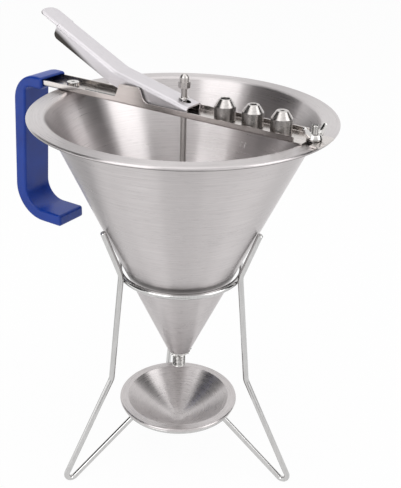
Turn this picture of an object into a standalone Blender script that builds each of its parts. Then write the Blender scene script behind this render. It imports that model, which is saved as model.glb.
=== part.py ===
"""Pancake batter dispenser: a steel cone funnel with a lever valve, on a wire tripod over a drip bowl.

Metres, +Z up, standing on z = 0. The funnel's axis is vertical, the channel bar lies along X,
the handle is at -X, and the origin is under the middle of the whole dispenser.
"""
import math

import bmesh
import bpy
from mathutils import Vector

# Clearances
GAP = 0.0003
OVERRUN = 0.002
RUNNING_CLEARANCE = 0.0005
MERGE_DISTANCE = 0.000006

# Funnel
RIM_HEIGHT = 0.3150
RIM_RADIUS = 0.1200
RIM_WIDTH = 0.0128
NECK_HEIGHT = 0.1014
NECK_RADIUS = 0.0100
FUNNEL_SHEET = 0.0010
RIM_BEAD_RADIUS = 0.0015
MOUTH_FILLET = 0.0040
BOLT_INSET = 0.0083

# Spout under the funnel
SPOUT_COLLAR_LENGTH = 0.0042
SPOUT_COLLAR_EDGE = 0.0008
SPOUT_THREAD_LENGTH = 0.0120
SPOUT_THREAD_RADIUS = 0.0057
SPOUT_BORE_RADIUS = 0.0044
THREAD_PITCH = 0.0014
THREAD_DEPTH = 0.0006
SEAT_DEPTH = 0.0038

# Stopper rod
ROD_RADIUS = 0.0025
ROD_CHAMFER = 0.0005
ROD_TOP_ABOVE_RIM = 0.0285
PLUG_RADIUS = 0.0060
PLUG_NOSE_RADIUS = 0.0020
PLUG_LENGTH = 0.0125
PLUG_NECK_RADIUS = 0.0042
CLIP_RADIUS = 0.0040
CLIP_THICKNESS = 0.0009
CAP_NUT_ABOVE_RIM = 0.0197
CAP_NUT_HEIGHT = 0.0112
CAP_NUT_HEX_HEIGHT = 0.0046
CAP_NUT_DOME_RADIUS = 0.0037

# Screws and nuts of the rim, all for a 5 mm thread
SCREW_RADIUS = 0.0025
HEX_FLATS = 0.0080
RIM_NUT_HEIGHT = 0.0040
SCREW_HEAD_RADIUS = 0.0052
SCREW_HEAD_HEIGHT = 0.0034
SCREW_HEAD_EDGE = 0.0004
RECESS_LENGTH = 0.0036
RECESS_WIDTH = 0.0009
RECESS_DEPTH = 0.0010
STUD_TOP_ABOVE_RIM = 0.0130
STUD_HEAD_RADIUS = 0.0040
STUD_HEAD_HEIGHT = 0.0020
STUD_THREAD_DEPTH = 0.00035
WING_NUT_TURN = math.radians(70)
WING_NUT_BASE_RADIUS = 0.0058
WING_NUT_BASE_HEIGHT = 0.0044
WING_NUT_BASE_EDGE = 0.0013
WING_NUT_WAIST_RADIUS = 0.0048
WING_NUT_SPAN = 0.0230
WING_NUT_HEIGHT = 0.0112
WING_THICKNESS = 0.0034
WING_SHARES = (
    (0.30, 0.10), (0.60, 0.16), (0.90, 0.52), (1.00, 0.86),
    (0.93, 1.00), (0.78, 0.96), (0.48, 0.56), (0.26, 0.40),
)

# Channel bar across the rim
BAR_WIDTH = 0.0260
BAR_SHEET = 0.0012
BAR_WALL_HEIGHT = 0.0048
BAR_WALL_INSET = 0.0185
BAR_TONGUE_OVERHANG = 0.0020
BAR_CORNER = 0.0030
EAR_HEIGHT = 0.0160
EAR_TOP_LENGTH = 0.0190
EAR_FOOT_LENGTH = 0.0280
EAR_CORNER = 0.0030
STUD_SLOT_WIDTH = 0.0060
ROD_HOLE_RADIUS = 0.0034

# Lever, hinged between the bar's ears
PIVOT_X = -0.0430
PIVOT_ABOVE_RIM = 0.0126
PIVOT_RADIUS = 0.0020
LEVER_WIDTH = 0.0200
LEVER_SHEET = 0.0014
LEVER_FOLD_RADIUS = 0.0032
LEVER_DEPTH = 0.0112
LEVER_REAR_DEPTH = 0.0118
LEVER_KNEE_X = -0.0600
LEVER_KNEE_ABOVE_RIM = 0.0246
LEVER_KNEE_RADIUS = 0.0300
LEVER_RISE = math.radians(26.2)
LEVER_FALL = math.radians(13.6)
LEVER_FRONT_LENGTH = 0.0852
LEVER_REAR_LENGTH = 0.0715
LEVER_THUMB_LENGTH = 0.0213
LEVER_TIP_CORNER = 0.0060
LEVER_SKIRT_CORNER = 0.0040
LEVER_TIP_DEPTH = 0.00143
LEVER_FOLD_SHARE = 0.85
LEVER_FOLD_ANGLES = tuple(math.radians(a) for a in (0, 30, 60, 90))
TIP_ANGLES = tuple(math.radians(a) for a in (0, 25, 50, 70, 90))
SKIRT_SHARES = (0, 0.15, 0.5, 1)
ROD_SLOT_LENGTH = 0.0092
ROD_SLOT_WIDTH = 0.0062
ROD_SLOT_SHIFT = 0.0014

# Return spring round the pivot pin
SPRING_WIRE_RADIUS = 0.0006
SPRING_COIL_RADIUS = 0.0042
SPRING_PITCH = 0.00175
SPRING_TURNS = 4
SPRING_POINTS_PER_TURN = 10
SPRING_SCREW_CLEARANCE = 0.0115
SPRING_FLOOR_BEND = 0.0150
SPRING_LIFT_REACH = 0.0330

# Handle on the bar's end
HANDLE_WIDTH = 0.0310
HANDLE_FRONT_OVERHANG = 0.0135
HANDLE_OVERHANG = 0.0501
HANDLE_TOP_ABOVE_RIM = 0.0078
HANDLE_CROWN = 0.0006
HANDLE_CAP_THICKNESS = 0.0105
HANDLE_GRIP_THICKNESS = 0.0118
HANDLE_TIP_THICKNESS = 0.0104
HANDLE_HEIGHT = 0.1322
HANDLE_LEAN = 0.0075
HANDLE_TIP_OFFSET = 0.0143
HANDLE_TOP_CURVE = 0.0240
HANDLE_FOOT_CURVE = 0.0290
HANDLE_CORNER = 0.0024
HANDLE_EDGE = 0.0020
HANDLE_EDGE_ANGLES = tuple(math.radians(a) for a in (0, 45, 90))
POCKET_DEPTH = 0.0135

# Spare nozzles on their pegs
NOZZLE_FIRST_SHARE = 0.3645
NOZZLE_LAST_SHARE = 0.8374
NOZZLE_RADIUS = 0.0081
NOZZLE_BASE_HEIGHT = 0.0108
NOZZLE_HEIGHT = 0.0163
NOZZLE_TOP_RADIUS = 0.0044
NOZZLE_EDGE = 0.0005
NOZZLE_SOCKET_DEPTH = 0.0080
NOZZLE_BORE_RADII = (0.0035, 0.0025, 0.0015)
PEG_HEIGHT = 0.0062

# Drip bowl
BOWL_HEIGHT = 0.0527
BOWL_RADIUS = 0.0520
BOWL_MOUTH_RADIUS = 0.0448
BOWL_DEPTH = 0.0240
BOWL_SHEET = 0.0009
BOWL_BEAD_RADIUS = 0.0014
BOWL_FOOT_RADIUS = 0.0060
BOWL_HEM_SHARE = 1.5
BOWL_BEAD_END_DEGREES = -150
BOWL_CURVE_POWER = 1.45
BOWL_CURVE_STEPS = 6

# Wire stand
LEG_TURNS = (math.radians(4.5), math.radians(130), math.radians(245))
LEG_WIRE_RADIUS = 0.0024
RING_WIRE_RADIUS = 0.0024
WAIST_RING_DROP = 0.0059
BOWL_RING_RADIUS = 0.0487
BOWL_RING_WIRE_RADIUS = 0.0019
LEG_TOP_HEIGHT = 0.2286
LEG_WAIST_CLEARANCE = 0.003726
LEG_WAIST_HEIGHT = 0.1869
LEG_KNEE_RADIUS = 0.0658
LEG_KNEE_HEIGHT = 0.0915
LEG_FOOT_REACH = 0.1055
LEG_FOOT_BEND = 0.0048
LEG_BEND_RADIUS = 0.0130
LEG_INNER_OVERRUN = 0.0010
FOOT_FLAT_DEPTH = 0.0004

# Fineness of curves
RIM_STEPS = 72
BOWL_STEPS = 48
SMALL_STEPS = 24
WIRE_SIDES = 8
RING_STEPS = 48
BEAD_STEPS = 6
CORNER_STEPS = 3
SLOT_STEPS = 8
SHARP_ANGLE = math.radians(35)

# Places worked out from the sizes above
MOUTH_RADIUS = RIM_RADIUS - RIM_WIDTH
BOLT_CIRCLE_RADIUS = RIM_RADIUS - BOLT_INSET
BAR_WALL_END = RIM_RADIUS - BAR_WALL_INSET
BAR_TONGUE_END = RIM_RADIUS + BAR_TONGUE_OVERHANG
HANDLE_FRONT_X = -RIM_RADIUS - HANDLE_FRONT_OVERHANG
HANDLE_REACH = RIM_RADIUS + HANDLE_OVERHANG
HANDLE_TIP_X = HANDLE_FRONT_X + HANDLE_TIP_OFFSET
NOZZLE_FIRST_X = BAR_WALL_END * NOZZLE_FIRST_SHARE
NOZZLE_SPACING = (BAR_WALL_END * NOZZLE_LAST_SHARE - NOZZLE_FIRST_X) / (len(NOZZLE_BORE_RADII) - 1)
SPRING_FLOOR_REACH = BOLT_CIRCLE_RADIUS - SCREW_HEAD_RADIUS - SPRING_SCREW_CLEARANCE + PIVOT_X
WAIST_RING_HEIGHT = LEG_WAIST_HEIGHT - WAIST_RING_DROP
AXIS_X = (HANDLE_REACH - BAR_TONGUE_END) / 2
CONE_SLOPE = (MOUTH_RADIUS - NECK_RADIUS) / (RIM_HEIGHT - NECK_HEIGHT)
CONE_ANGLE = math.atan(CONE_SLOPE)
CONE_WALL = FUNNEL_SHEET / math.cos(CONE_ANGLE)
BAR_BOTTOM = RIM_HEIGHT + GAP
BAR_FLOOR = BAR_BOTTOM + BAR_SHEET
PIVOT_HEIGHT = RIM_HEIGHT + PIVOT_ABOVE_RIM
SPOUT_TOP = NECK_HEIGHT - GAP
SPOUT_BOTTOM = SPOUT_TOP - SPOUT_COLLAR_LENGTH - SPOUT_THREAD_LENGTH


def clear_scene():
    for thing in list(bpy.data.objects):
        bpy.data.objects.remove(thing, do_unlink=True)


def paint(name, colour, roughness, metallic):
    material = bpy.data.materials.new(name)
    material.use_nodes = True
    shader = material.node_tree.nodes["Principled BSDF"]
    shader.inputs["Base Color"].default_value = (*colour, 1)
    shader.inputs["Roughness"].default_value = roughness
    shader.inputs["Metallic"].default_value = metallic
    return material


def empty(name, place, parent=None):
    thing = bpy.data.objects.new(name, None)
    bpy.context.scene.collection.objects.link(thing)
    thing.location = place
    thing.parent = parent
    return thing


def settle(name, mesh_maker, material, parent, place=(0, 0, 0), turn=0.0):
    """Turns a bmesh into an object; the mesh's own origin is the object's joint or centre."""
    bmesh.ops.remove_doubles(mesh_maker, verts=mesh_maker.verts, dist=MERGE_DISTANCE)
    bmesh.ops.recalc_face_normals(mesh_maker, faces=mesh_maker.faces)
    mesh = bpy.data.meshes.new(name)
    mesh_maker.to_mesh(mesh)
    mesh_maker.free()
    return settle_mesh(name, mesh, material, parent, place, turn)


def settle_mesh(name, mesh, material, parent, place=(0, 0, 0), turn=0.0):
    thing = bpy.data.objects.new(name, mesh)
    bpy.context.scene.collection.objects.link(thing)
    thing.location = place
    thing.rotation_euler = (0, 0, turn)
    thing.parent = parent
    if material is not None and not mesh.materials:
        mesh.materials.append(material)
    mesh.shade_smooth()
    mesh.set_sharp_from_angle(angle=SHARP_ANGLE)
    return thing


def combine(target, tool, operation):
    """Live Boolean; the tool stays hidden and is left out of the model."""
    tool.parent = target.parent
    tool.display_type = "WIRE"
    tool.hide_render = True
    step = target.modifiers.new(tool.name, "BOOLEAN")
    step.object = tool
    step.operation = operation
    step.solver = "EXACT"


def cut(target, tool):
    combine(target, tool, "DIFFERENCE")


def join(target, tool):
    combine(target, tool, "UNION")


def round_corners(points, radii, closed=True, steps=CORNER_STEPS):
    """Replaces each corner of a flat outline by an arc of its own radius, 0 for a sharp one."""
    corners = [Vector(p) for p in points]
    last = len(corners)
    result = []
    for i, corner in enumerate(corners):
        radius = radii[i]
        if radius == 0 or (not closed and i in (0, last - 1)):
            result.append(tuple(corner))
            continue
        before = (corners[i - 1] - corner).normalized()
        after = (corners[(i + 1) % last] - corner).normalized()
        half = before.angle(after) / 2
        reach = radius / math.tan(half)
        centre = corner + (before + after).normalized() * (radius / math.sin(half))
        start = corner + before * reach - centre
        finish = corner + after * reach - centre
        sweep = start.angle(finish)
        for k in range(steps + 1):
            share = k / steps
            point = start * math.sin((1 - share) * sweep) + finish * math.sin(share * sweep)
            result.append(tuple(centre + point / math.sin(sweep)))
    return result


def arc(centre, radius, first, last, steps):
    """Points of an arc in a flat outline, angles in degrees."""
    result = []
    for k in range(steps + 1):
        angle = math.radians(first + (last - first) * k / steps)
        result.append((centre[0] + radius * math.cos(angle), centre[1] + radius * math.sin(angle)))
    return result


def lathe(outline, steps, closed=True):
    """Turns an outline of (radius, height) about Z; an open one starts and ends on the axis."""
    maker = bmesh.new()
    verts = [maker.verts.new((r, 0, z)) for r, z in outline]
    edges = [maker.edges.new(pair) for pair in zip(verts, verts[1:])]
    if closed:
        edges.append(maker.edges.new((verts[-1], verts[0])))
    bmesh.ops.spin(
        maker,
        geom=verts + edges,
        cent=(0, 0, 0),
        axis=(0, 0, 1),
        angle=math.tau,
        steps=steps,
        use_merge=True,
    )
    bmesh.ops.remove_doubles(maker, verts=maker.verts, dist=MERGE_DISTANCE)
    return maker


def slab(outline, low, high, plane):
    """Pulls a flat outline out into a plate from low to high, across its plane (XY or XZ)."""
    place = {"XY": lambda a, b, c: (a, b, c), "XZ": lambda a, b, c: (a, c, b)}[plane]
    maker = bmesh.new()
    face = maker.faces.new([maker.verts.new(place(a, b, low)) for a, b in outline])
    pulled = bmesh.ops.extrude_face_region(maker, geom=[face])
    shift = Vector(place(0, 0, high - low))
    moved = [v for v in pulled["geom"] if isinstance(v, bmesh.types.BMVert)]
    bmesh.ops.translate(maker, vec=shift, verts=moved)
    return maker


def wire(points, radius, sides, closed=False):
    """Sweeps a round section along a path, with the section's frame carried on without twist."""
    path = [Vector(p) for p in points]
    count = len(path)
    maker = bmesh.new()
    rings = []
    across = None
    for i, point in enumerate(path):
        back = path[i - 1] if closed or i > 0 else point
        ahead = path[(i + 1) % count] if closed or i < count - 1 else point
        along = (ahead - back).normalized()
        if across is None:
            across = along.orthogonal().normalized() if abs(along.z) < 1 else Vector((1, 0, 0))
        across = (across - along * across.dot(along)).normalized()
        beside = along.cross(across)
        ring = []
        for k in range(sides):
            angle = math.tau * (k + 0.5) / sides
            outward = across * math.cos(angle) + beside * math.sin(angle)
            ring.append(maker.verts.new(point + outward * radius))
        rings.append(ring)
    pairs = list(zip(rings, rings[1:]))
    if closed:
        pairs.append((rings[-1], rings[0]))
    else:
        maker.faces.new(list(reversed(rings[0])))
        maker.faces.new(rings[-1])
    for one, two in pairs:
        for k in range(sides):
            maker.faces.new((one[k], one[(k + 1) % sides], two[(k + 1) % sides], two[k]))
    return maker


def hexagon(flats):
    corner = flats / 2 / math.cos(math.pi / 6)
    angles = [math.pi * (k + 0.5) / 3 for k in range(6)]
    return [(corner * math.cos(a), corner * math.sin(a)) for a in angles]


def circle(radius):
    return arc((0, 0), radius, 0, 360 - 360 / SMALL_STEPS, SMALL_STEPS - 1)


def drill(radius, low, high):
    """A round tool from low to high."""
    return lathe([(0, low), (radius, low), (radius, high), (0, high)], SMALL_STEPS, False)


def cone_radius(height):
    """Outer radius of the funnel's cone."""
    return NECK_RADIUS + (height - NECK_HEIGHT) * CONE_SLOPE


def against_cone(height, wire_radius):
    """Radius at which a wire of this size just clears the cone's outside."""
    return cone_radius(height) + (wire_radius + GAP) / math.cos(CONE_ANGLE)


def thread(radius, bottom, length, depth=THREAD_DEPTH):
    """Outline of a screw thread's side, from the bottom up, as plain rings."""
    turns = int(length / THREAD_PITCH)
    step = length / turns
    side = [(radius - depth, bottom)]
    for k in range(turns):
        side.append((radius, bottom + step * (k + 0.5)))
        side.append((radius - depth, bottom + step * (k + 1)))
    return side


# Funnel body

def make_funnel(steel, parent):
    bead = (RIM_RADIUS - RIM_BEAD_RADIUS, RIM_HEIGHT - RIM_BEAD_RADIUS)
    lean = math.degrees(math.asin((RIM_BEAD_RADIUS - FUNNEL_SHEET) / RIM_BEAD_RADIUS))
    edge = arc(bead, RIM_BEAD_RADIUS, 90, lean - 180, BEAD_STEPS)
    edge += [(bead[0] - RIM_BEAD_RADIUS * math.cos(math.radians(lean)), RIM_HEIGHT - FUNNEL_SHEET)]
    inner_mouth = MOUTH_RADIUS - CONE_WALL
    outer_mouth = cone_radius(RIM_HEIGHT - FUNNEL_SHEET)
    inner = [(NECK_RADIUS - CONE_WALL, NECK_HEIGHT), (inner_mouth, RIM_HEIGHT), edge[0]]
    outer = [edge[-1], (outer_mouth, RIM_HEIGHT - FUNNEL_SHEET), (NECK_RADIUS, NECK_HEIGHT)]
    outline = round_corners(inner, (0, MOUTH_FILLET, 0), closed=False)
    outline += edge[1:-1]
    outline += round_corners(outer, (0, MOUTH_FILLET - FUNNEL_SHEET, 0), closed=False)
    body = settle("funnel_cone", lathe(outline, RIM_STEPS), steel, parent)
    for name, side in (("cut_screw_hole", -1), ("cut_stud_hole", 1)):
        hole = drill(SCREW_RADIUS + GAP, -OVERRUN * 2, OVERRUN)
        cut(body, settle(name, hole, None, parent, (side * BOLT_CIRCLE_RADIUS, 0, RIM_HEIGHT)))
    return body


def make_spout(steel, parent):
    seat_radius = SPOUT_BORE_RADIUS + SEAT_DEPTH
    outline = [(SPOUT_BORE_RADIUS, SPOUT_TOP - SEAT_DEPTH), (SPOUT_BORE_RADIUS, SPOUT_BOTTOM)]
    outline += thread(SPOUT_THREAD_RADIUS, SPOUT_BOTTOM, SPOUT_THREAD_LENGTH)
    outline += [(SPOUT_THREAD_RADIUS, SPOUT_TOP - SPOUT_COLLAR_LENGTH)]
    outline += [(NECK_RADIUS, SPOUT_TOP - SPOUT_COLLAR_EDGE), (NECK_RADIUS, SPOUT_TOP)]
    outline += [(seat_radius, SPOUT_TOP)]
    return settle("spout", lathe(outline, SMALL_STEPS), steel, parent)


# Stopper: rod, plug, clip and cap nut slide up and down together

def plug_nose_height():
    """Height where the plug's 45 degree cone, just clear of its seat, has the nose's radius."""
    seat_line = SPOUT_TOP - SEAT_DEPTH - SPOUT_BORE_RADIUS
    return seat_line + PLUG_NOSE_RADIUS + GAP * math.sqrt(2)


def make_rod(steel, parent, base):
    bottom = plug_nose_height() + PLUG_RADIUS
    top = RIM_HEIGHT + ROD_TOP_ABOVE_RIM
    shoulder = top - ROD_CHAMFER
    outline = [(0, bottom), (ROD_RADIUS, bottom), (ROD_RADIUS, shoulder)]
    outline += [(ROD_RADIUS - ROD_CHAMFER, top), (0, top)]
    outline = [(r, z - base) for r, z in outline]
    return settle("stopper_rod", lathe(outline, SMALL_STEPS, False), steel, parent)


def make_plug(steel, parent, base):
    nose = plug_nose_height()
    widest = nose + PLUG_RADIUS - PLUG_NOSE_RADIUS
    top = nose + PLUG_LENGTH
    socket_radius = ROD_RADIUS + GAP
    socket_bottom = nose + PLUG_RADIUS - GAP
    land = widest + PLUG_NOSE_RADIUS / 2
    outline = [(0, nose), (PLUG_NOSE_RADIUS, nose), (PLUG_RADIUS, widest), (PLUG_RADIUS, land)]
    outline += [(PLUG_NECK_RADIUS, land + PLUG_RADIUS - PLUG_NECK_RADIUS), (PLUG_NECK_RADIUS, top)]
    outline += [(socket_radius, top), (socket_radius, socket_bottom), (0, socket_bottom)]
    outline = [(r, z - base) for r, z in outline]
    return settle("stopper_plug", lathe(outline, SMALL_STEPS, False), steel, parent)


def lever_top(x):
    """Height of the lever's top sheet, at rest, behind its knee."""
    return RIM_HEIGHT + LEVER_KNEE_ABOVE_RIM - (x - LEVER_KNEE_X) * math.tan(LEVER_FALL)


def make_clip(steel, parent, base):
    bottom = lever_top(-CLIP_RADIUS) + GAP
    inner = ROD_RADIUS + GAP
    outline = [(inner, 0), (CLIP_RADIUS, 0), (CLIP_RADIUS, CLIP_THICKNESS), (inner, CLIP_THICKNESS)]
    return settle("rod_clip", lathe(outline, SMALL_STEPS), steel, parent, (0, 0, bottom - base))


def make_cap_nut(steel, parent, base):
    dome = [(0, CAP_NUT_HEX_HEIGHT - OVERRUN), (CAP_NUT_DOME_RADIUS, CAP_NUT_HEX_HEIGHT - OVERRUN)]
    centre = (0, CAP_NUT_HEIGHT - CAP_NUT_DOME_RADIUS)
    dome += arc(centre, CAP_NUT_DOME_RADIUS, 0, 90, BEAD_STEPS)
    nut = settle("cap_nut", slab(hexagon(HEX_FLATS), 0, CAP_NUT_HEX_HEIGHT, "XY"), steel, parent)
    nut.location = (0, 0, RIM_HEIGHT + CAP_NUT_ABOVE_RIM - base)
    top = settle("join_cap_nut_dome", lathe(dome, SMALL_STEPS, False), None, parent, nut.location)
    join(nut, top)
    bore = drill(ROD_RADIUS + GAP, -OVERRUN, ROD_TOP_ABOVE_RIM - CAP_NUT_ABOVE_RIM + GAP)
    cut(nut, settle("cut_cap_nut_bore", bore, None, parent, nut.location))
    return nut


# Fasteners on the rim

def make_rim_screw(steel, parent):
    edge = SCREW_HEAD_EDGE
    head = SCREW_HEAD_HEIGHT
    shank_end = -(BAR_FLOOR - RIM_HEIGHT + FUNNEL_SHEET + RIM_NUT_HEIGHT + GAP * 3)
    outline = [(0, shank_end), (SCREW_RADIUS, shank_end), (SCREW_RADIUS, 0), (SCREW_HEAD_RADIUS, 0)]
    outline += [(SCREW_HEAD_RADIUS, head - edge), (SCREW_HEAD_RADIUS - edge, head), (0, head)]
    place = (-BOLT_CIRCLE_RADIUS, 0, BAR_FLOOR + GAP)
    screw = settle("rim_screw", lathe(outline, SMALL_STEPS, False), steel, parent, place)
    arm = RECESS_LENGTH / 2
    half = RECESS_WIDTH / 2
    cross = [(arm, -half), (arm, half), (half, half), (half, arm), (-half, arm), (-half, half)]
    cross += [(-a, -b) for a, b in cross]
    recess = slab(cross, head - RECESS_DEPTH, head + OVERRUN, "XY")
    cut(screw, settle("cut_screw_recess", recess, None, parent, place))
    return screw


def make_rim_nut(steel, parent):
    low = RIM_HEIGHT - FUNNEL_SHEET - GAP - RIM_NUT_HEIGHT
    place = (-BOLT_CIRCLE_RADIUS, 0, low)
    nut = settle("rim_nut", slab(hexagon(HEX_FLATS), 0, RIM_NUT_HEIGHT, "XY"), steel, parent, place)
    bore = drill(SCREW_RADIUS + GAP, -OVERRUN, RIM_NUT_HEIGHT + OVERRUN)
    cut(nut, settle("cut_rim_nut_bore", bore, None, parent, place))
    return nut


def make_rim_stud(steel, parent):
    head_top = -FUNNEL_SHEET - GAP
    head_bottom = head_top - STUD_HEAD_HEIGHT
    side = thread(SCREW_RADIUS, head_top, STUD_TOP_ABOVE_RIM - head_top, STUD_THREAD_DEPTH)
    outline = [(0, head_bottom), (STUD_HEAD_RADIUS, head_bottom), (STUD_HEAD_RADIUS, head_top)]
    outline += side + [(0, STUD_TOP_ABOVE_RIM)]
    place = (BOLT_CIRCLE_RADIUS, 0, RIM_HEIGHT)
    return settle("rim_stud", lathe(outline, SMALL_STEPS, False), steel, parent, place)


def make_wing_nut(steel, parent):
    top = WING_NUT_BASE_HEIGHT
    outline = [(0, 0), (WING_NUT_BASE_RADIUS, 0), (WING_NUT_BASE_RADIUS, WING_NUT_BASE_EDGE)]
    outline += [(WING_NUT_WAIST_RADIUS, top), (0, top)]
    place = (BOLT_CIRCLE_RADIUS, 0, BAR_FLOOR + GAP)
    nut = settle("wing_nut", lathe(outline, SMALL_STEPS, False), steel, parent, place, WING_NUT_TURN)
    span = WING_NUT_SPAN / 2
    high = WING_NUT_HEIGHT
    right = [(span * a, high * b) for a, b in WING_SHARES]
    wings = right + [(-a, b) for a, b in reversed(right)]
    blade = slab(wings, -WING_THICKNESS / 2, WING_THICKNESS / 2, "XZ")
    join(nut, settle("join_wings", blade, None, parent, place, WING_NUT_TURN))
    bore = drill(SCREW_RADIUS + GAP, -OVERRUN, high)
    cut(nut, settle("cut_wing_nut_bore", bore, None, parent, place))
    return nut


# Channel bar with its ears and slotted tongue

def wall_outline():
    """Side wall of the channel with the ear that carries the lever."""
    left = HANDLE_FRONT_X - POCKET_DEPTH
    top = BAR_WALL_HEIGHT + GAP
    low = GAP
    foot = EAR_FOOT_LENGTH / 2
    crest = EAR_TOP_LENGTH / 2
    points = [(left, low), (BAR_WALL_END, low), (BAR_WALL_END, top)]
    radii = [0, 0, BAR_SHEET]
    points += [(PIVOT_X + foot, top), (PIVOT_X + crest, EAR_HEIGHT + GAP)]
    radii += [EAR_CORNER * 2, EAR_CORNER]
    points += [(PIVOT_X - crest, EAR_HEIGHT + GAP), (PIVOT_X - foot, top), (left, top)]
    radii += [EAR_CORNER, EAR_CORNER, 0]
    return [(x, RIM_HEIGHT + z) for x, z in round_corners(points, radii)]


def make_bar(steel, parent):
    half = BAR_WIDTH / 2
    left = HANDLE_FRONT_X - POCKET_DEPTH
    plate = [(left, -half), (BAR_TONGUE_END, -half), (BAR_TONGUE_END, half), (left, half)]
    plate = round_corners(plate, (0, BAR_CORNER, BAR_CORNER, 0))
    bar = settle("channel_bar", slab(plate, BAR_BOTTOM, BAR_FLOOR, "XY"), steel, parent)
    walls = wall_outline()
    join(bar, settle("join_near_wall", slab(walls, -half, BAR_SHEET - half, "XZ"), None, parent))
    join(bar, settle("join_far_wall", slab(walls, half - BAR_SHEET, half, "XZ"), None, parent))
    bottom = BAR_BOTTOM - OVERRUN
    top = BAR_FLOOR + OVERRUN
    screw_hole = drill(SCREW_RADIUS + GAP, bottom, top)
    cut(bar, settle("cut_bar_screw", screw_hole, None, parent, (-BOLT_CIRCLE_RADIUS, 0, 0)))
    cut(bar, settle("cut_bar_rod", drill(ROD_HOLE_RADIUS, bottom, top), None, parent))
    side = STUD_SLOT_WIDTH / 2
    slot = [(side, -half - OVERRUN)] + arc((0, 0), side, 0, 180, SLOT_STEPS) + [(-side, -half - OVERRUN)]
    opening = slab(slot, bottom, top, "XY")
    cut(bar, settle("cut_stud_slot", opening, None, parent, (BOLT_CIRCLE_RADIUS, 0, 0)))
    return bar


# Lever

def lever_path():
    """Middle of the lever's top sheet from the thumb end to the rod end, about the pivot."""
    knee = Vector((LEVER_KNEE_X - PIVOT_X, LEVER_KNEE_ABOVE_RIM - PIVOT_ABOVE_RIM))
    thumb = knee + Vector((-math.cos(LEVER_RISE), math.sin(LEVER_RISE))) * LEVER_FRONT_LENGTH
    rear = knee + Vector((math.cos(LEVER_FALL), -math.sin(LEVER_FALL))) * LEVER_REAR_LENGTH
    bend = round_corners([thumb, knee, rear], (0, LEVER_KNEE_RADIUS, 0), closed=False, steps=5)
    along = (Vector(bend[1]) - Vector(bend[0])).normalized()
    marks = [LEVER_TIP_CORNER * (1 - math.cos(a)) for a in TIP_ANGLES]
    marks += [LEVER_THUMB_LENGTH + LEVER_SKIRT_CORNER * share for share in SKIRT_SHARES]
    start = Vector(bend[0])
    return [(start + along * m, m) for m in marks] + [(Vector(p), None) for p in bend[1:]]


def lever_section(half, depth):
    """Half section of the folded sheet: its outer side from the skirt up to the top, and its inner side."""
    fold = min(LEVER_FOLD_RADIUS, depth * LEVER_FOLD_SHARE)
    side_fold = LEVER_FOLD_RADIUS - LEVER_SHEET
    inner_fold = min(side_fold, max(depth - LEVER_SHEET, 0) * LEVER_FOLD_SHARE)
    inner_half = half - LEVER_SHEET
    turns = LEVER_FOLD_ANGLES
    outer = [(half, -depth)]
    inner = [(inner_half, -depth)]
    for angle in turns:
        across = 1 - math.cos(angle)
        down = 1 - math.sin(angle)
        outer.append((half - LEVER_FOLD_RADIUS * across, -fold * down))
        inner.append((inner_half - side_fold * across, -LEVER_SHEET - inner_fold * down))
    return outer, inner


def make_lever(steel, parent):
    maker = bmesh.new()
    stations = lever_path()
    spots = [s[0] for s in stations]
    marked = sum(1 for s in stations if s[1] is not None)
    rings = []
    for i, (spot, mark) in enumerate(stations):
        along = (spots[min(i + 1, len(spots) - 1)] - spots[max(i - 1, 0)]).normalized()
        normal = Vector((-along.y, along.x))
        half = LEVER_WIDTH / 2
        share = max(0, min(1, (i - marked) / (len(stations) - 1 - marked)))
        depth = LEVER_DEPTH + (LEVER_REAR_DEPTH - LEVER_DEPTH) * math.sqrt(share)
        if mark is not None:
            inset = max(LEVER_TIP_CORNER - mark, 0)
            half -= LEVER_TIP_CORNER - math.sqrt(LEVER_TIP_CORNER**2 - inset**2)
            into_skirt = (mark - LEVER_THUMB_LENGTH) / LEVER_SKIRT_CORNER
            if into_skirt <= 0:
                depth = LEVER_TIP_DEPTH
            else:
                depth = LEVER_DEPTH - LEVER_SKIRT_CORNER * (1 - math.sqrt(1 - (1 - into_skirt) ** 2))
        outer, inner = lever_section(half, depth)
        loop = [(y, d) for y, d in outer] + [(-y, d) for y, d in reversed(outer)]
        loop += [(-y, d) for y, d in inner] + [(y, d) for y, d in reversed(inner)]
        ring = []
        for across, down in loop:
            point = spot + normal * down
            ring.append(maker.verts.new((point.x, across, point.y)))
        rings.append(ring)
    count = len(rings[0])
    for one, two in zip(rings, rings[1:]):
        for k in range(count):
            maker.faces.new((one[k], one[(k + 1) % count], two[(k + 1) % count], two[k]))
    side = count // 4
    for ring in (rings[0], rings[-1]):
        far = 2 * side
        for k in range(side - 1):
            maker.faces.new((ring[k], ring[k + 1], ring[count - 2 - k], ring[count - 1 - k]))
            one = side + k
            maker.faces.new((ring[one], ring[one + 1], ring[count - 2 - one], ring[count - 1 - one]))
        maker.faces.new((ring[side - 1], ring[side], ring[far + side - 1], ring[far + side]))
    place = (PIVOT_X, 0, PIVOT_HEIGHT)
    lever = settle("lever", maker, steel, parent, place)
    add_lever_cuts(lever, parent, place)
    return lever


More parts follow.
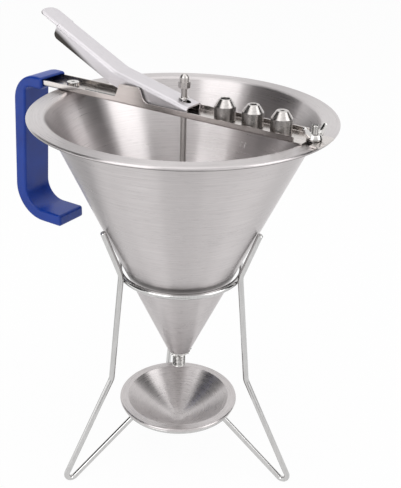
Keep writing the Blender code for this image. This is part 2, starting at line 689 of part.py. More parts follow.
def add_lever_cuts(lever, parent, place):
    floor = BAR_FLOOR + GAP - PIVOT_HEIGHT
    reach = LEVER_REAR_LENGTH + OVERRUN
    width = LEVER_WIDTH
    below = floor - LEVER_DEPTH * 2
    box = [(-reach, below), (reach, below), (reach, floor), (-reach, floor)]
    cut(lever, settle("cut_lever_foot", slab(box, -width, width, "XZ"), None, parent, place))
    radius = PIVOT_RADIUS + RUNNING_CLEARANCE / 2
    hole = slab(circle(radius), -width, width, "XZ")
    cut(lever, settle("cut_lever_pivot", hole, None, parent, place))
    side = ROD_SLOT_WIDTH / 2
    run = ROD_SLOT_LENGTH / 2 - side
    middle = ROD_SLOT_SHIFT - PIVOT_X
    slot = arc((middle + run, 0), side, -90, 90, SLOT_STEPS)
    slot += arc((middle - run, 0), side, 90, 270, SLOT_STEPS)
    cut(lever, settle("cut_rod_slot", slab(slot, -LEVER_DEPTH, LEVER_DEPTH, "XY"), None, parent, place))


def make_pin(steel, parent):
    reach = BAR_WIDTH / 2 - BAR_SHEET - GAP
    place = (PIVOT_X, 0, PIVOT_HEIGHT)
    return settle("pivot_pin", slab(circle(PIVOT_RADIUS), -reach, reach, "XZ"), steel, parent, place)


def spring_path():
    """Return spring about the pin: along the bar's floor, round the pin, then up under the lever."""
    radius = SPRING_COIL_RADIUS
    floor = BAR_FLOOR + GAP + SPRING_WIRE_RADIUS - PIVOT_HEIGHT
    bend = Vector((-SPRING_FLOOR_BEND, floor))
    start_angle = math.atan2(bend.y, bend.x) - math.acos(radius / bend.length)
    knee = Vector((LEVER_KNEE_X - PIVOT_X, LEVER_KNEE_ABOVE_RIM - PIVOT_ABOVE_RIM))
    under = Vector((-math.cos(LEVER_RISE), math.sin(LEVER_RISE)))
    inward = Vector((-math.sin(LEVER_RISE), -math.cos(LEVER_RISE)))
    lift = knee + under * (SPRING_LIFT_REACH + knee.x)
    lift += inward * (LEVER_SHEET + GAP * 2 + SPRING_WIRE_RADIUS)
    end_angle = math.atan2(lift.y, lift.x) + math.acos(radius / lift.length)
    turn = (start_angle - end_angle) % math.tau + SPRING_TURNS * math.tau
    steps = round(turn / math.tau * SPRING_POINTS_PER_TURN)
    width = turn / math.tau * SPRING_PITCH
    coil = []
    for k in range(steps + 1):
        angle = start_angle - turn * k / steps
        y = -width / 2 + width * k / steps
        coil.append((radius * math.cos(angle), y, radius * math.sin(angle)))
    first, last = coil[0], coil[-1]
    floor_run = [(-SPRING_FLOOR_REACH, floor), (-SPRING_FLOOR_BEND, floor), (first[0], first[2])]
    floor_run = round_corners(floor_run, (0, radius, 0), closed=False)
    start = [(x, first[1], z) for x, z in floor_run[:-1]]
    return start + coil + [(lift.x, last[1], lift.y)]


def least_gap(points, wire_radius):
    """Least clear space between stretches of the spring that are over half a turn apart."""
    path = []
    for a, b in zip(points, points[1:]):
        a, b = Vector(a), Vector(b)
        pieces = max(1, round((b - a).length / wire_radius))
        path += [a.lerp(b, k / pieces) for k in range(pieces)]
    apart = round(math.pi * SPRING_COIL_RADIUS / wire_radius)
    count = len(path)
    least = min((path[i] - path[j]).length for i in range(count) for j in range(i + apart, count))
    return least - 2 * wire_radius


def make_spring(steel, parent):
    points = spring_path()
    print("return_spring least gap to itself, mm:", round(least_gap(points, SPRING_WIRE_RADIUS) * 1000, 2))
    curve = bpy.data.curves.new("return_spring", "CURVE")
    curve.dimensions = "3D"
    curve.bevel_depth = SPRING_WIRE_RADIUS
    curve.bevel_resolution = 1
    curve.use_fill_caps = True
    spline = curve.splines.new("POLY")
    spline.points.add(len(points) - 1)
    for spot, point in zip(spline.points, points):
        spot.co = (*point, 1)
    curve.materials.append(steel)
    spring = bpy.data.objects.new("return_spring", curve)
    bpy.context.scene.collection.objects.link(spring)
    spring.location = (PIVOT_X, 0, PIVOT_HEIGHT)
    spring.parent = parent
    return spring


# Handle

def drawn_in(points, radii, depth):
    """An anticlockwise outline with rounded corners, drawn in by a depth all round."""
    corners = [Vector(p) for p in points]
    count = len(corners)
    moved = []
    fitted = []
    for i, corner in enumerate(corners):
        before = (corner - corners[i - 1]).normalized()
        after = (corners[(i + 1) % count] - corner).normalized()
        inward = Vector((-before.y - after.y, before.x + after.x)) / (1 + before.dot(after))
        hollow = before.x * after.y - before.y * after.x < 0
        moved.append(corner + inward * depth)
        fitted.append(radii[i] + depth if hollow else radii[i] - depth)
    return round_corners(moved, fitted, steps=BEAD_STEPS)


def stack(layers):
    """Joins outlines of (x, height) that lie at different places along Y into one closed body."""
    maker = bmesh.new()
    rings = [[maker.verts.new((x, y, z)) for x, z in outline] for outline, y in layers]
    for one, two in zip(rings, rings[1:]):
        for k in range(len(one)):
            maker.faces.new((one[k - 1], one[k], two[k], two[k - 1]))
    maker.faces.new(list(reversed(rings[0])))
    maker.faces.new(rings[-1])
    return maker


def make_handle(plastic, parent):
    top = HANDLE_TOP_ABOVE_RIM
    bottom = top - HANDLE_HEIGHT
    lean = math.atan(HANDLE_LEAN / HANDLE_HEIGHT)
    back = -HANDLE_REACH - HANDLE_FOOT_CURVE * (math.tan(lean) + 1 / math.cos(lean) - 1)
    shoulder = back + HANDLE_LEAN
    grip_top = shoulder + HANDLE_GRIP_THICKNESS
    grip_foot = back + HANDLE_GRIP_THICKNESS
    cap_low = top - HANDLE_CAP_THICKNESS
    tip_top = bottom + HANDLE_TIP_THICKNESS
    inner_curve = HANDLE_FOOT_CURVE - HANDLE_GRIP_THICKNESS
    points = [(HANDLE_FRONT_X, top - HANDLE_CROWN), (shoulder, top), (back, bottom), (HANDLE_TIP_X, bottom)]
    radii = [HANDLE_CORNER, HANDLE_TOP_CURVE, HANDLE_FOOT_CURVE, HANDLE_CORNER]
    points += [(HANDLE_TIP_X, tip_top), (grip_foot, tip_top)]
    points += [(grip_top, cap_low), (HANDLE_FRONT_X, cap_low)]
    radii += [HANDLE_CORNER, inner_curve, HANDLE_CORNER * 2, HANDLE_CORNER]
    points = [(x, RIM_HEIGHT + z) for x, z in points]
    level = HANDLE_WIDTH / 2 - HANDLE_EDGE
    layers = []
    for angle in HANDLE_EDGE_ANGLES:
        outline = drawn_in(points, radii, HANDLE_EDGE * (1 - math.cos(angle)))
        layers.append((outline, level + HANDLE_EDGE * math.sin(angle)))
    layers = [(outline, -y) for outline, y in reversed(layers)] + layers
    handle = settle("handle", stack(layers), plastic, parent)
    side = BAR_WIDTH / 2 + GAP
    back_wall = HANDLE_FRONT_X - POCKET_DEPTH - GAP
    ceiling = BAR_WALL_HEIGHT + GAP * 3
    mouth = HANDLE_FRONT_X + OVERRUN
    pocket = [(back_wall, 0), (mouth, 0), (mouth, ceiling), (back_wall, ceiling)]
    tool = slab([(x, RIM_HEIGHT + z) for x, z in pocket], -side, side, "XZ")
    cut(handle, settle("cut_pocket", tool, None, parent))
    return handle


# Spare nozzles and their pegs

def make_nozzles(steel, parents, pegs_parent):
    bottom = BAR_FLOOR + GAP
    socket = SPOUT_THREAD_RADIUS + GAP
    for k, bore in enumerate(NOZZLE_BORE_RADII):
        name = ("large", "medium", "small")[k]
        edge = NOZZLE_EDGE
        outline = [(socket, 0), (NOZZLE_RADIUS - edge, 0), (NOZZLE_RADIUS, edge)]
        outline += [(NOZZLE_RADIUS, NOZZLE_BASE_HEIGHT), (NOZZLE_TOP_RADIUS, NOZZLE_HEIGHT - edge)]
        outline += [(NOZZLE_TOP_RADIUS - edge, NOZZLE_HEIGHT)]
        outline += [(bore, NOZZLE_HEIGHT), (bore, NOZZLE_HEIGHT - NOZZLE_TOP_RADIUS)]
        outline += [(socket, NOZZLE_SOCKET_DEPTH)]
        settle("nozzle_" + name, lathe(outline, SMALL_STEPS), steel, parents[k])
        height = PEG_HEIGHT
        peg = [(0, 0)] + thread(SPOUT_THREAD_RADIUS - GAP, 0, height) + [(0, height)]
        place = (NOZZLE_FIRST_X + k * NOZZLE_SPACING, 0, bottom)
        settle("nozzle_peg_" + name, lathe(peg, SMALL_STEPS, False), steel, pegs_parent, place)


# Drip bowl and stand

def make_bowl(steel, parent):
    bead = (BOWL_RADIUS - BOWL_BEAD_RADIUS, BOWL_HEIGHT - BOWL_BEAD_RADIUS)
    edge = arc(bead, BOWL_BEAD_RADIUS, 90, BOWL_BEAD_END_DEGREES, BEAD_STEPS)
    floor = BOWL_HEIGHT - BOWL_DEPTH
    inner = []
    outer = []
    width = BOWL_MOUTH_RADIUS - BOWL_FOOT_RADIUS
    for k in range(BOWL_CURVE_STEPS + 1):
        share = k / BOWL_CURVE_STEPS
        radius = BOWL_FOOT_RADIUS + width * share
        rise = BOWL_DEPTH * share**BOWL_CURVE_POWER
        lean = math.atan(BOWL_CURVE_POWER * BOWL_DEPTH * share ** (BOWL_CURVE_POWER - 1) / width)
        inner.append((radius, floor + rise))
        outer.append((radius + BOWL_SHEET * math.sin(lean), floor + rise - BOWL_SHEET * math.cos(lean)))
    under = BOWL_HEIGHT - BOWL_SHEET
    outer = [p for p in outer if p[1] < under - BOWL_SHEET / 2]
    outline = [(0, floor)] + inner + edge
    outline += [(BOWL_MOUTH_RADIUS + BOWL_SHEET * BOWL_HEM_SHARE, under)]
    outline += list(reversed(outer)) + [(0, floor - BOWL_SHEET)]
    return settle("drip_bowl", lathe(outline, BOWL_STEPS, False), steel, parent)


def ring_points(radius, height):
    return [
        (radius * math.cos(math.tau * k / RING_STEPS), radius * math.sin(math.tau * k / RING_STEPS), height)
        for k in range(RING_STEPS)
    ]


def bowl_ring_height():
    """Height at which the ring just carries the bead of the bowl's rim, which lies further out."""
    aside = BOWL_RADIUS - BOWL_BEAD_RADIUS - BOWL_RING_RADIUS
    touch = BOWL_BEAD_RADIUS + GAP + BOWL_RING_WIRE_RADIUS
    return BOWL_HEIGHT - BOWL_BEAD_RADIUS - math.sqrt(touch**2 - aside**2)


def leg_waist_radius():
    """The legs' narrowest place stands a little off the cone."""
    return against_cone(LEG_WAIST_HEIGHT, LEG_WIRE_RADIUS) + LEG_WAIST_CLEARANCE


def waist_ring_radius():
    """The ring sits inside the legs, between their waist and their knee."""
    share = (LEG_WAIST_HEIGHT - WAIST_RING_HEIGHT) / (LEG_WAIST_HEIGHT - LEG_KNEE_HEIGHT)
    waist = leg_waist_radius()
    leg = waist + (LEG_KNEE_RADIUS - waist) * share
    return leg - LEG_WIRE_RADIUS - RING_WIRE_RADIUS - GAP


def leg_path():
    """Path of one leg's wire in its own plane, as (distance from the axis, height)."""
    top = (against_cone(LEG_TOP_HEIGHT, LEG_WIRE_RADIUS), LEG_TOP_HEIGHT)
    waist = (leg_waist_radius(), LEG_WAIST_HEIGHT)
    knee = (LEG_KNEE_RADIUS, LEG_KNEE_HEIGHT)
    foot = Vector((LEG_FOOT_REACH, LEG_FOOT_BEND + LEG_WIRE_RADIUS - FOOT_FLAT_DEPTH))
    down = Vector(knee) - foot
    first = math.atan2(down.y, down.x) - math.acos(LEG_FOOT_BEND / down.length)
    ring = Vector((BOWL_RING_RADIUS, bowl_ring_height()))
    under = BOWL_RING_WIRE_RADIUS + GAP + LEG_WIRE_RADIUS
    back = ring - foot
    last = math.atan2(back.y, back.x) + math.acos((LEG_FOOT_BEND - under) / back.length)
    turn = Vector((math.cos(last), math.sin(last)))
    inner = ring + turn * under + Vector((turn.y, -turn.x)) * LEG_INNER_OVERRUN
    bend = arc(foot, LEG_FOOT_BEND, math.degrees(first), math.degrees(last - math.tau), SLOT_STEPS)
    radii = (0, LEG_BEND_RADIUS, LEG_BEND_RADIUS, 0)
    return round_corners([top, waist, knee, bend[0]], radii, closed=False) + bend[1:] + [tuple(inner)]


def make_stand(steel, parent):
    ring = ring_points(waist_ring_radius(), WAIST_RING_HEIGHT)
    settle("waist_ring", wire(ring, RING_WIRE_RADIUS, WIRE_SIDES, closed=True), steel, parent)
    ring = ring_points(BOWL_RING_RADIUS, bowl_ring_height())
    settle("bowl_ring", wire(ring, BOWL_RING_WIRE_RADIUS, WIRE_SIDES, closed=True), steel, parent)
    points = [(r, 0, z) for r, z in leg_path()]
    for k, turn in enumerate(LEG_TURNS):
        leg = settle(f"leg_{k + 1}", wire(points, LEG_WIRE_RADIUS, WIRE_SIDES), steel, parent, turn=turn)
        low = LEG_WIRE_RADIUS * 2
        box = [(0, -low), (LEG_FOOT_REACH * 2, -low), (LEG_FOOT_REACH * 2, 0), (0, 0)]
        cut(leg, settle(f"cut_foot_{k + 1}", slab(box, -low, low, "XZ"), None, parent, turn=turn))


def main():
    clear_scene()
    brushed = paint("brushed steel", (0.62, 0.61, 0.60), 0.32, 1.0)
    polished = paint("polished steel", (0.72, 0.71, 0.70), 0.12, 1.0)
    turned = paint("turned steel", (0.60, 0.59, 0.58), 0.22, 1.0)
    wire_steel = paint("stand wire", (0.68, 0.68, 0.68), 0.16, 1.0)
    spring_steel = paint("spring wire", (0.45, 0.45, 0.46), 0.30, 1.0)
    blue = paint("blue plastic", (0.012, 0.045, 0.25), 0.35, 0.0)

    centre = empty("dispenser_axis", (AXIS_X, 0, 0))
    make_stand(wire_steel, centre)
    make_bowl(brushed, centre)
    make_funnel(brushed, centre)
    make_spout(turned, centre)
    make_bar(brushed, centre)
    make_handle(blue, centre)
    make_rim_screw(polished, centre)
    make_rim_nut(polished, centre)
    make_rim_stud(polished, centre)
    make_wing_nut(polished, centre)
    make_pin(polished, centre)
    make_spring(spring_steel, centre)
    make_lever(brushed, centre)

    rod_base = SPOUT_TOP
    rod_origin = empty("rod_travel", (0, 0, rod_base), centre)
    make_rod(polished, rod_origin, rod_base)
    make_plug(turned, rod_origin, rod_base)
    make_clip(spring_steel, rod_origin, rod_base)
    make_cap_nut(polished, rod_origin, rod_base)

    nozzle_origins = []
    for k in range(len(NOZZLE_BORE_RADII)):
        place = (NOZZLE_FIRST_X + k * NOZZLE_SPACING, 0, BAR_FLOOR + GAP)
        nozzle_origins.append(empty(f"nozzle_place_{k + 1}", place, centre))
    make_nozzles(turned, nozzle_origins, centre)
    bpy.context.view_layer.update()


main()
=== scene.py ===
"""Looks of the pancake batter dispenser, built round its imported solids.

Metres, in the frame of the solids: +Z up, the handle at -X, the funnel's axis vertical at x = AXIS_X.
Each visible node is replaced by a finer piece of the same size that rides on the same body.
"""
from math import acos, asin, atan, atan2, cos, degrees, pi, radians, sin, sqrt, tan, tau

import bmesh
import bpy
from mathutils import Matrix, Vector, noise


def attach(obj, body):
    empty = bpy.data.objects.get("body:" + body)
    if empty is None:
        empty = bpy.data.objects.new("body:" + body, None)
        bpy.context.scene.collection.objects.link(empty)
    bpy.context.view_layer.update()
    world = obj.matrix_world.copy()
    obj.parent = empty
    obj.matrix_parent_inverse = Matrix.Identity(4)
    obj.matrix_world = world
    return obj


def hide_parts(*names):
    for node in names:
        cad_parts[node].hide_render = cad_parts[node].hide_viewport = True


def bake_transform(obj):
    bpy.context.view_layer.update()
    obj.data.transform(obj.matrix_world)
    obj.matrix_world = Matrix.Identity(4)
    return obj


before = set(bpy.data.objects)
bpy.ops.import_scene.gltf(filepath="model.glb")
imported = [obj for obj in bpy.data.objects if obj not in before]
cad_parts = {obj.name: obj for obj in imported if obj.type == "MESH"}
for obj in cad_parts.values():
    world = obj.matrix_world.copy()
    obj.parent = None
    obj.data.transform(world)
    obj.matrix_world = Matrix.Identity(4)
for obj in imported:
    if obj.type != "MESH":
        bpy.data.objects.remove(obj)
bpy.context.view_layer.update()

# Clearances
GAP = 0.0003
OVERRUN = 0.002
RUNNING_CLEARANCE = 0.0005
MERGE_DISTANCE = 0.000006

# Funnel and spout
RIM_HEIGHT = 0.315
RIM_RADIUS = 0.12
MOUTH_RADIUS = 0.1072
NECK_HEIGHT = 0.1014
NECK_RADIUS = 0.01
FUNNEL_SHEET = 0.001
RIM_BEAD_RADIUS = 0.0015
MOUTH_FILLET = 0.004
BOLT_RADIUS = 0.1117
COLLAR_LENGTH = 0.0042
COLLAR_EDGE = 0.0008
THREAD_LENGTH = 0.012
THREAD_RADIUS = 0.0057
BORE_RADIUS = 0.0044
THREAD_PITCH = 0.0014
THREAD_DEPTH = 0.0006
THREAD_FLANKS = 2.6
THREAD_POINTS = 8
SEAT_DEPTH = 0.0038
COLLAR_SHARES = (
    (0.25, 0.00), (0.42, 0.04), (0.54, 0.12), (0.6, 0.22), (0.6, 0.33), (0.6, 0.44),
    (0.6, 0.55), (0.62, 0.66), (0.7, 0.77), (0.82, 0.88), (1.00, 1.00),
)
COLLAR_LUMP = 0.0022
COLLAR_LUMPS = 480
COLLAR_LUMP_SHIFT = 0.1
LEVEL_STROKES = ((88.0, 0.264, 87.4, 0.269), (85.2, 0.264, 85.0, 0.269))
LEVEL_STROKE_RADIUS = 0.0007
LEVEL_STEPS = 4

# Stopper rod
ROD_RADIUS = 0.0025
ROD_CHAMFER = 0.0005
ROD_TOP_ABOVE_RIM = 0.0285
PLUG_RADIUS = 0.006
PLUG_NOSE_RADIUS = 0.002
PLUG_LENGTH = 0.0125
PLUG_NECK_RADIUS = 0.0042
CLIP_RADIUS = 0.004
CLIP_THICKNESS = 0.0009
CLIP_MOUTH = 25
CAP_ABOVE_RIM = 0.0197
CAP_HEIGHT = 0.0112
CAP_HEX_HEIGHT = 0.0046
CAP_DOME_RADIUS = 0.0037

# Fasteners of the rim
SCREW_RADIUS = 0.0025
HEX_FLATS = 0.008
HEX_CHAMFER = 0.00042
RIM_NUT_HEIGHT = 0.004
SCREW_HEAD_RADIUS = 0.0052
SCREW_HEAD_HEIGHT = 0.0034
SCREW_HEAD_EDGE = 0.0004
RECESS_LENGTH = 0.0036
RECESS_WIDTH = 0.0009
RECESS_DEPTH = 0.001
STUD_TOP_ABOVE_RIM = 0.013
STUD_HEAD_RADIUS = 0.004
STUD_HEAD_HEIGHT = 0.002
STUD_PITCH = 0.0008
STUD_THREAD_DEPTH = 0.00035
WING_NUT_TURN = radians(70)
WING_NUT_BASE_RADIUS = 0.0058
WING_NUT_BASE_HEIGHT = 0.0044
WING_NUT_FOOT_HEIGHT = 0.00132
WING_NUT_WAIST_RADIUS = 0.0048
WING_NUT_SPAN = 0.023
WING_NUT_HEIGHT = 0.0112
WING_THICKNESS = 0.0034
WING_SHARES = (
    (0.3, 0.1), (0.6, 0.16), (0.9, 0.52), (1.00, 0.86),
    (0.93, 1.00), (0.78, 0.96), (0.48, 0.56), (0.26, 0.4),
)
WING_CORNER = 0.00102
WING_VOXEL = 0.00028

# Channel bar
BAR_WIDTH = 0.026
BAR_SHEET = 0.0012
BAR_BEND = 0.0017
BAR_WALL_HEIGHT = 0.0048
BAR_WALL_END = 0.1015
BAR_TONGUE_END = 0.122
BAR_CORNER = 0.003
EAR_HEIGHT = 0.016
EAR_TOP_LENGTH = 0.019
EAR_FOOT_LENGTH = 0.028
EAR_CORNER = 0.003
STUD_SLOT_WIDTH = 0.006
ROD_HOLE_RADIUS = 0.0034

# Lever
PIVOT_X = -0.043
PIVOT_ABOVE_RIM = 0.0126
PIVOT_RADIUS = 0.002
LEVER_WIDTH = 0.02
LEVER_SHEET = 0.0014
LEVER_FOLD_RADIUS = 0.0032
LEVER_DEPTH = 0.0112
LEVER_REAR_DEPTH = 0.0118
LEVER_KNEE_X = -0.06
LEVER_KNEE_ABOVE_RIM = 0.0246
LEVER_KNEE_RADIUS = 0.03
LEVER_RISE = radians(26.2)
LEVER_FALL = radians(13.6)
LEVER_FRONT_LENGTH = 0.0852
LEVER_REAR_LENGTH = 0.0715
LEVER_THUMB_LENGTH = 0.0213
LEVER_TIP_CORNER = 0.006
LEVER_SKIRT_CORNER = 0.004
LEVER_TIP_DEPTH = 0.00143
LEVER_FOLD_SHARE = 0.85
LEVER_FOLD_STEPS = 7
LEVER_TIP_STEPS = 12
LEVER_SKIRT_STEPS = 7
LEVER_KNEE_STEPS = 14
LEVER_STRAIGHT_STEPS = 4
ROD_SLOT_LENGTH = 0.0092
ROD_SLOT_WIDTH = 0.0062
ROD_SLOT_SHIFT = 0.0014

# Return spring
SPRING_WIRE_RADIUS = 0.0006
SPRING_WIRE_SIDES = 12
SPRING_COIL_RADIUS = 0.0042
SPRING_PITCH = 0.00175
SPRING_TURNS = 4
SPRING_POINTS_PER_TURN = 24
SPRING_FLOOR_REACH = 0.052
SPRING_FLOOR_BEND = 0.015
SPRING_LIFT_REACH = 0.033

# Handle
HANDLE_WIDTH = 0.031
HANDLE_FRONT_X = -0.1335
HANDLE_REACH = 0.1701
HANDLE_TOP_ABOVE_RIM = 0.0078
HANDLE_CROWN = 0.0006
HANDLE_CAP_THICKNESS = 0.0105
HANDLE_GRIP_THICKNESS = 0.0118
HANDLE_TIP_THICKNESS = 0.0104
HANDLE_HEIGHT = 0.1322
HANDLE_LEAN = 0.0075
HANDLE_TIP_X = -0.1192
HANDLE_TOP_CURVE = 0.024
HANDLE_FOOT_CURVE = 0.029
HANDLE_CORNER = 0.0024
HANDLE_EDGE = 0.002
HANDLE_EDGE_STEPS = 6
POCKET_DEPTH = 0.0135

# Nozzles
NOZZLE_FIRST_X = 0.037
NOZZLE_SPACING = 0.024
NOZZLE_RADIUS = 0.0081
NOZZLE_BASE_HEIGHT = 0.0108
NOZZLE_HEIGHT = 0.0163
NOZZLE_TOP_RADIUS = 0.0044
NOZZLE_EDGE = 0.0005
NOZZLE_EDGE_STEPS = 4
NOZZLE_SOCKET_DEPTH = 0.008
NOZZLE_BORES = (("large", 0.0035), ("medium", 0.0025), ("small", 0.0015))
PEG_HEIGHT = 0.0062

# Drip bowl
BOWL_HEIGHT = 0.0527
BOWL_RADIUS = 0.052
BOWL_MOUTH_RADIUS = 0.0448
BOWL_DEPTH = 0.024
BOWL_SHEET = 0.0009
BOWL_BEAD_RADIUS = 0.0014
BOWL_FOOT_RADIUS = 0.006
BOWL_CURVE_POWER = 1.45
BOWL_CURVE_STEPS = 24

# Wire stand
LEG_TURNS = (radians(4.5), radians(130), radians(245))
LEG_WIRE_RADIUS = 0.0024
RING_WIRE_RADIUS = 0.0024
WAIST_RING_HEIGHT = 0.181
BOWL_RING_RADIUS = 0.0487
BOWL_RING_WIRE_RADIUS = 0.0019
LEG_TOP_HEIGHT = 0.2286
LEG_WAIST_RADIUS = 0.0556
LEG_WAIST_HEIGHT = 0.1869
LEG_KNEE_RADIUS = 0.0658
LEG_KNEE_HEIGHT = 0.0915
LEG_FOOT_REACH = 0.1055
LEG_FOOT_BEND = 0.0048
LEG_BEND_RADIUS = 0.013
LEG_INNER_OVERRUN = 0.001
FOOT_FLAT_DEPTH = 0.0004
WIRE_END_CHAMFER = 0.0005

# Fineness
RIM_STEPS = 256
BOWL_STEPS = 160
SMALL_STEPS = 48
WIRE_SIDES = 16
RING_STEPS = 120
BEND_STEPS = 8
SUPPORT = 0.0003
LONG_SIDE = 0.0012
SHARP_ANGLE = radians(38)

# How much painted shade darkens the steel, from 0 to 1, and the height of a face's normal that bounds the
# faces with painted shade
RIM_PAINTED_SHADE = 0.8
RIM_UNDERSIDE = -0.25
WING_NUT_PAINTED_SHADE = 0.8
LEVER_INNER_PAINTED_SHADE = 0.5
LEVER_UNDERSIDE = -0.3
LEVER_SKIRT_PAINTED_REFLECTION = 2.2
NOZZLE_PAINTED_SHADE = 0.45
NOZZLE_UPRIGHT = 0.2

# Materials
# The near-black colour that painted shade and painted shadow darken steel towards
PAINTED_SHADE_STEEL = (0.055, 0.05, 0.047, 1)
LINE_DEPTH = 0.000001
LINE_SHARE = 0.75
DASH_SHADE = 0.5
DASH_RANGE = (0.58, 0.74)
OUTER_SIDE_FACES = -0.2
PLASTIC_ROUGHNESS = (0.26, 0.44)
PEBBLE_DEPTH = 0.00004
SCUFF_DEPTH_SHARE = 0.4

# Places worked out from the sizes above
AXIS_X = (HANDLE_REACH - BAR_TONGUE_END) / 2
CONE_SLOPE = (MOUTH_RADIUS - NECK_RADIUS) / (RIM_HEIGHT - NECK_HEIGHT)
CONE_ANGLE = atan(CONE_SLOPE)
CONE_WALL = FUNNEL_SHEET / cos(CONE_ANGLE)
BAR_BOTTOM = RIM_HEIGHT + GAP
BAR_FLOOR = BAR_BOTTOM + BAR_SHEET
PIVOT_HEIGHT = RIM_HEIGHT + PIVOT_ABOVE_RIM
SPOUT_TOP = NECK_HEIGHT - GAP
SPOUT_BOTTOM = SPOUT_TOP - COLLAR_LENGTH - THREAD_LENGTH
PLUG_NOSE_HEIGHT = SPOUT_TOP - SEAT_DEPTH - BORE_RADIUS + PLUG_NOSE_RADIUS + GAP * sqrt(2)
LEVER_KNEE = Vector((LEVER_KNEE_X - PIVOT_X, LEVER_KNEE_ABOVE_RIM - PIVOT_ABOVE_RIM))
LEVER_AHEAD = Vector((-cos(LEVER_RISE), sin(LEVER_RISE)))
LEVER_BACK = Vector((cos(LEVER_FALL), -sin(LEVER_FALL)))

# Studio
CAMERA_PLACE = (0.38737, -0.53601, 0.51534)
CAMERA_RIGHT = (0.83375, 0.55145, 0.02753)
CAMERA_UP = (-0.26045, 0.34883, 0.90027)
CAMERA_BACK = (0.48685, -0.75777, 0.43446)
CAMERA_LENS = 64.18
FLOOR_REACH = 6.0
FLOOR_GREY = 0.9
FLOOR_WHITE = 0.96
MIDDLE = (AXIS_X, 0, 0.2)
LAMPS = (  # name, place, target, size, watts, seen in reflections
    ("top", (0.0, -0.1, 1.6), MIDDLE, (1.5, 1.5), 4, True),
    ("fill", (0.0, -0.1, 1.6), MIDDLE, (1.5, 1.5), 13, False),
    ("left", (-0.05, -1.45, 0.9), MIDDLE, (1.0, 1.2), 6.8, True),
    ("right", (1.45, 0.2, 0.9), MIDDLE, (0.9, 1.2), 6.1, True),
    ("back", (-0.1, 1.5, 1.65), MIDDLE, (1.2, 1.0), 0.4, True),
    ("low", (-0.77, -0.76, 0.17), (0.0, 0.0, 0.17), (0.7, 0.3), 0.4, True),
)
BOARDS = (  # name, distances of its foot and head, their heights, directions of its ends, grey
    ("board_left", 1.2, 1.2, 0.34, 2.5, 177, 238, 0.02),
    ("board_right", 1.5, 1.5, 0.02, 3.0, 32, 62, 0.02),
    ("mat_left", 0.28, 1.00, 0.01, 0.01, 172, 215, 0.62),
    ("mat_front", 0.5, 1.1, 0.01, 0.01, 286, 322, 0.1),
)
BOARD_STEP = 4


# Shapes

def round_corners(points, radii, steps=BEND_STEPS):
    """Replaces each corner of a flat outline by an arc of its own radius. A radius of 0 keeps the corner."""
    corners = [Vector(p) for p in points]
    result = []
    for i, (corner, radius) in enumerate(zip(corners, radii)):
        if radius == 0:
            result.append(tuple(corner))
            continue
        before = (corners[i - 1] - corner).normalized()
        after = (corners[(i + 1) % len(corners)] - corner).normalized()
        half = before.angle(after) / 2
        reach = radius / tan(half)
        centre = corner + (before + after).normalized() * (radius / sin(half))
        start = corner + before * reach - centre
        finish = corner + after * reach - centre
        sweep = start.angle(finish)
        for k in range(steps + 1):
            share = k / steps
            point = start * sin((1 - share) * sweep) + finish * sin(share * sweep)
            result.append(tuple(centre + point / sin(sweep)))
    return result


def polar(radius, angle):
    return radius * cos(angle), radius * sin(angle)


def arc(centre, radius, first, last, steps=BEND_STEPS * 2):
    """Points of an arc in a flat outline, angles in degrees."""
    result = []
    for k in range(steps + 1):
        x, y = polar(radius, radians(first + (last - first) * k / steps))
        result.append((centre[0] + x, centre[1] + y))
    return result


def quarter(steps):
    """Angles that divide a right angle evenly."""
    return [pi / 2 * k / steps for k in range(steps + 1)]


def circle(radius, steps=SMALL_STEPS):
    return arc((0, 0), radius, 0, 360 - 360 / steps, steps - 1)


def box(left, right, low, high):
    return [(left, low), (right, low), (right, high), (left, high)]


def skin(maker, rings, closed=False, capped=True):
    """Faces from each ring of points to the next: round to the first again, or with both ends filled.

    A ring may be a single point.
    """
    faces = []
    for one, two in zip(rings, rings[1:] + rings[:1] if closed else rings[1:]):
        for k in range(max(len(one), len(two))):
            after = k + 1
            face = (one[k % len(one)], one[after % len(one)], two[after % len(two)], two[k % len(two)])
            faces.append(face)
    if capped and not closed:
        faces += [rings[0][::-1], rings[-1]]
    for face in faces:
        corners = list(dict.fromkeys(face))
        if len(corners) > 2:
            maker.faces.new(corners)
    return maker


def supported(outline, closed):
    """Adds a point just inside both ends of each long side, so that smooth shading stays at the corners."""
    result = []
    for i, point in enumerate(outline):
        here, there = Vector(point), Vector(outline[(i + 1) % len(outline)])
        result.append(point)
        if (there - here).length > LONG_SIDE and (closed or i + 1 < len(outline)):
            along = (there - here).normalized() * SUPPORT
            result += [tuple(here + along), tuple(there - along)]
    return result


def lathe(outline, steps=SMALL_STEPS, shape=None):
    """Turns an outline of (radius, height) about Z. It is closed unless it starts on the axis.

    shape(radius, height, angle) may move each point.
    """
    closed = outline[0][0] > 0
    maker = bmesh.new()
    rings = []
    for r, z in supported(outline, closed):
        ring = []
        for k in range(steps if r else 1):
            angle = tau * k / steps
            at_r, at_z = shape(r, z, angle) if shape else (r, z)
            ring.append(maker.verts.new((*polar(at_r, angle), at_z)))
        rings.append(ring)
    return skin(maker, rings, closed)


def stack(layers, plane="XZ"):
    """Joins outlines in a plane (XY, XZ or YZ), each at its own level across it, into one closed body."""
    places = {
        "XY": lambda a, b, c: (a, b, c),
        "XZ": lambda a, b, c: (a, c, b),
        "YZ": lambda a, b, c: (c, a, b),
    }
    place = places[plane]
    maker = bmesh.new()
    rings = [[maker.verts.new(place(a, b, level)) for a, b in outline] for outline, level in layers]
    return skin(maker, rings)


def slab(outline, low, high, plane="XZ"):
    return stack([(outline, low), (outline, high)], plane)


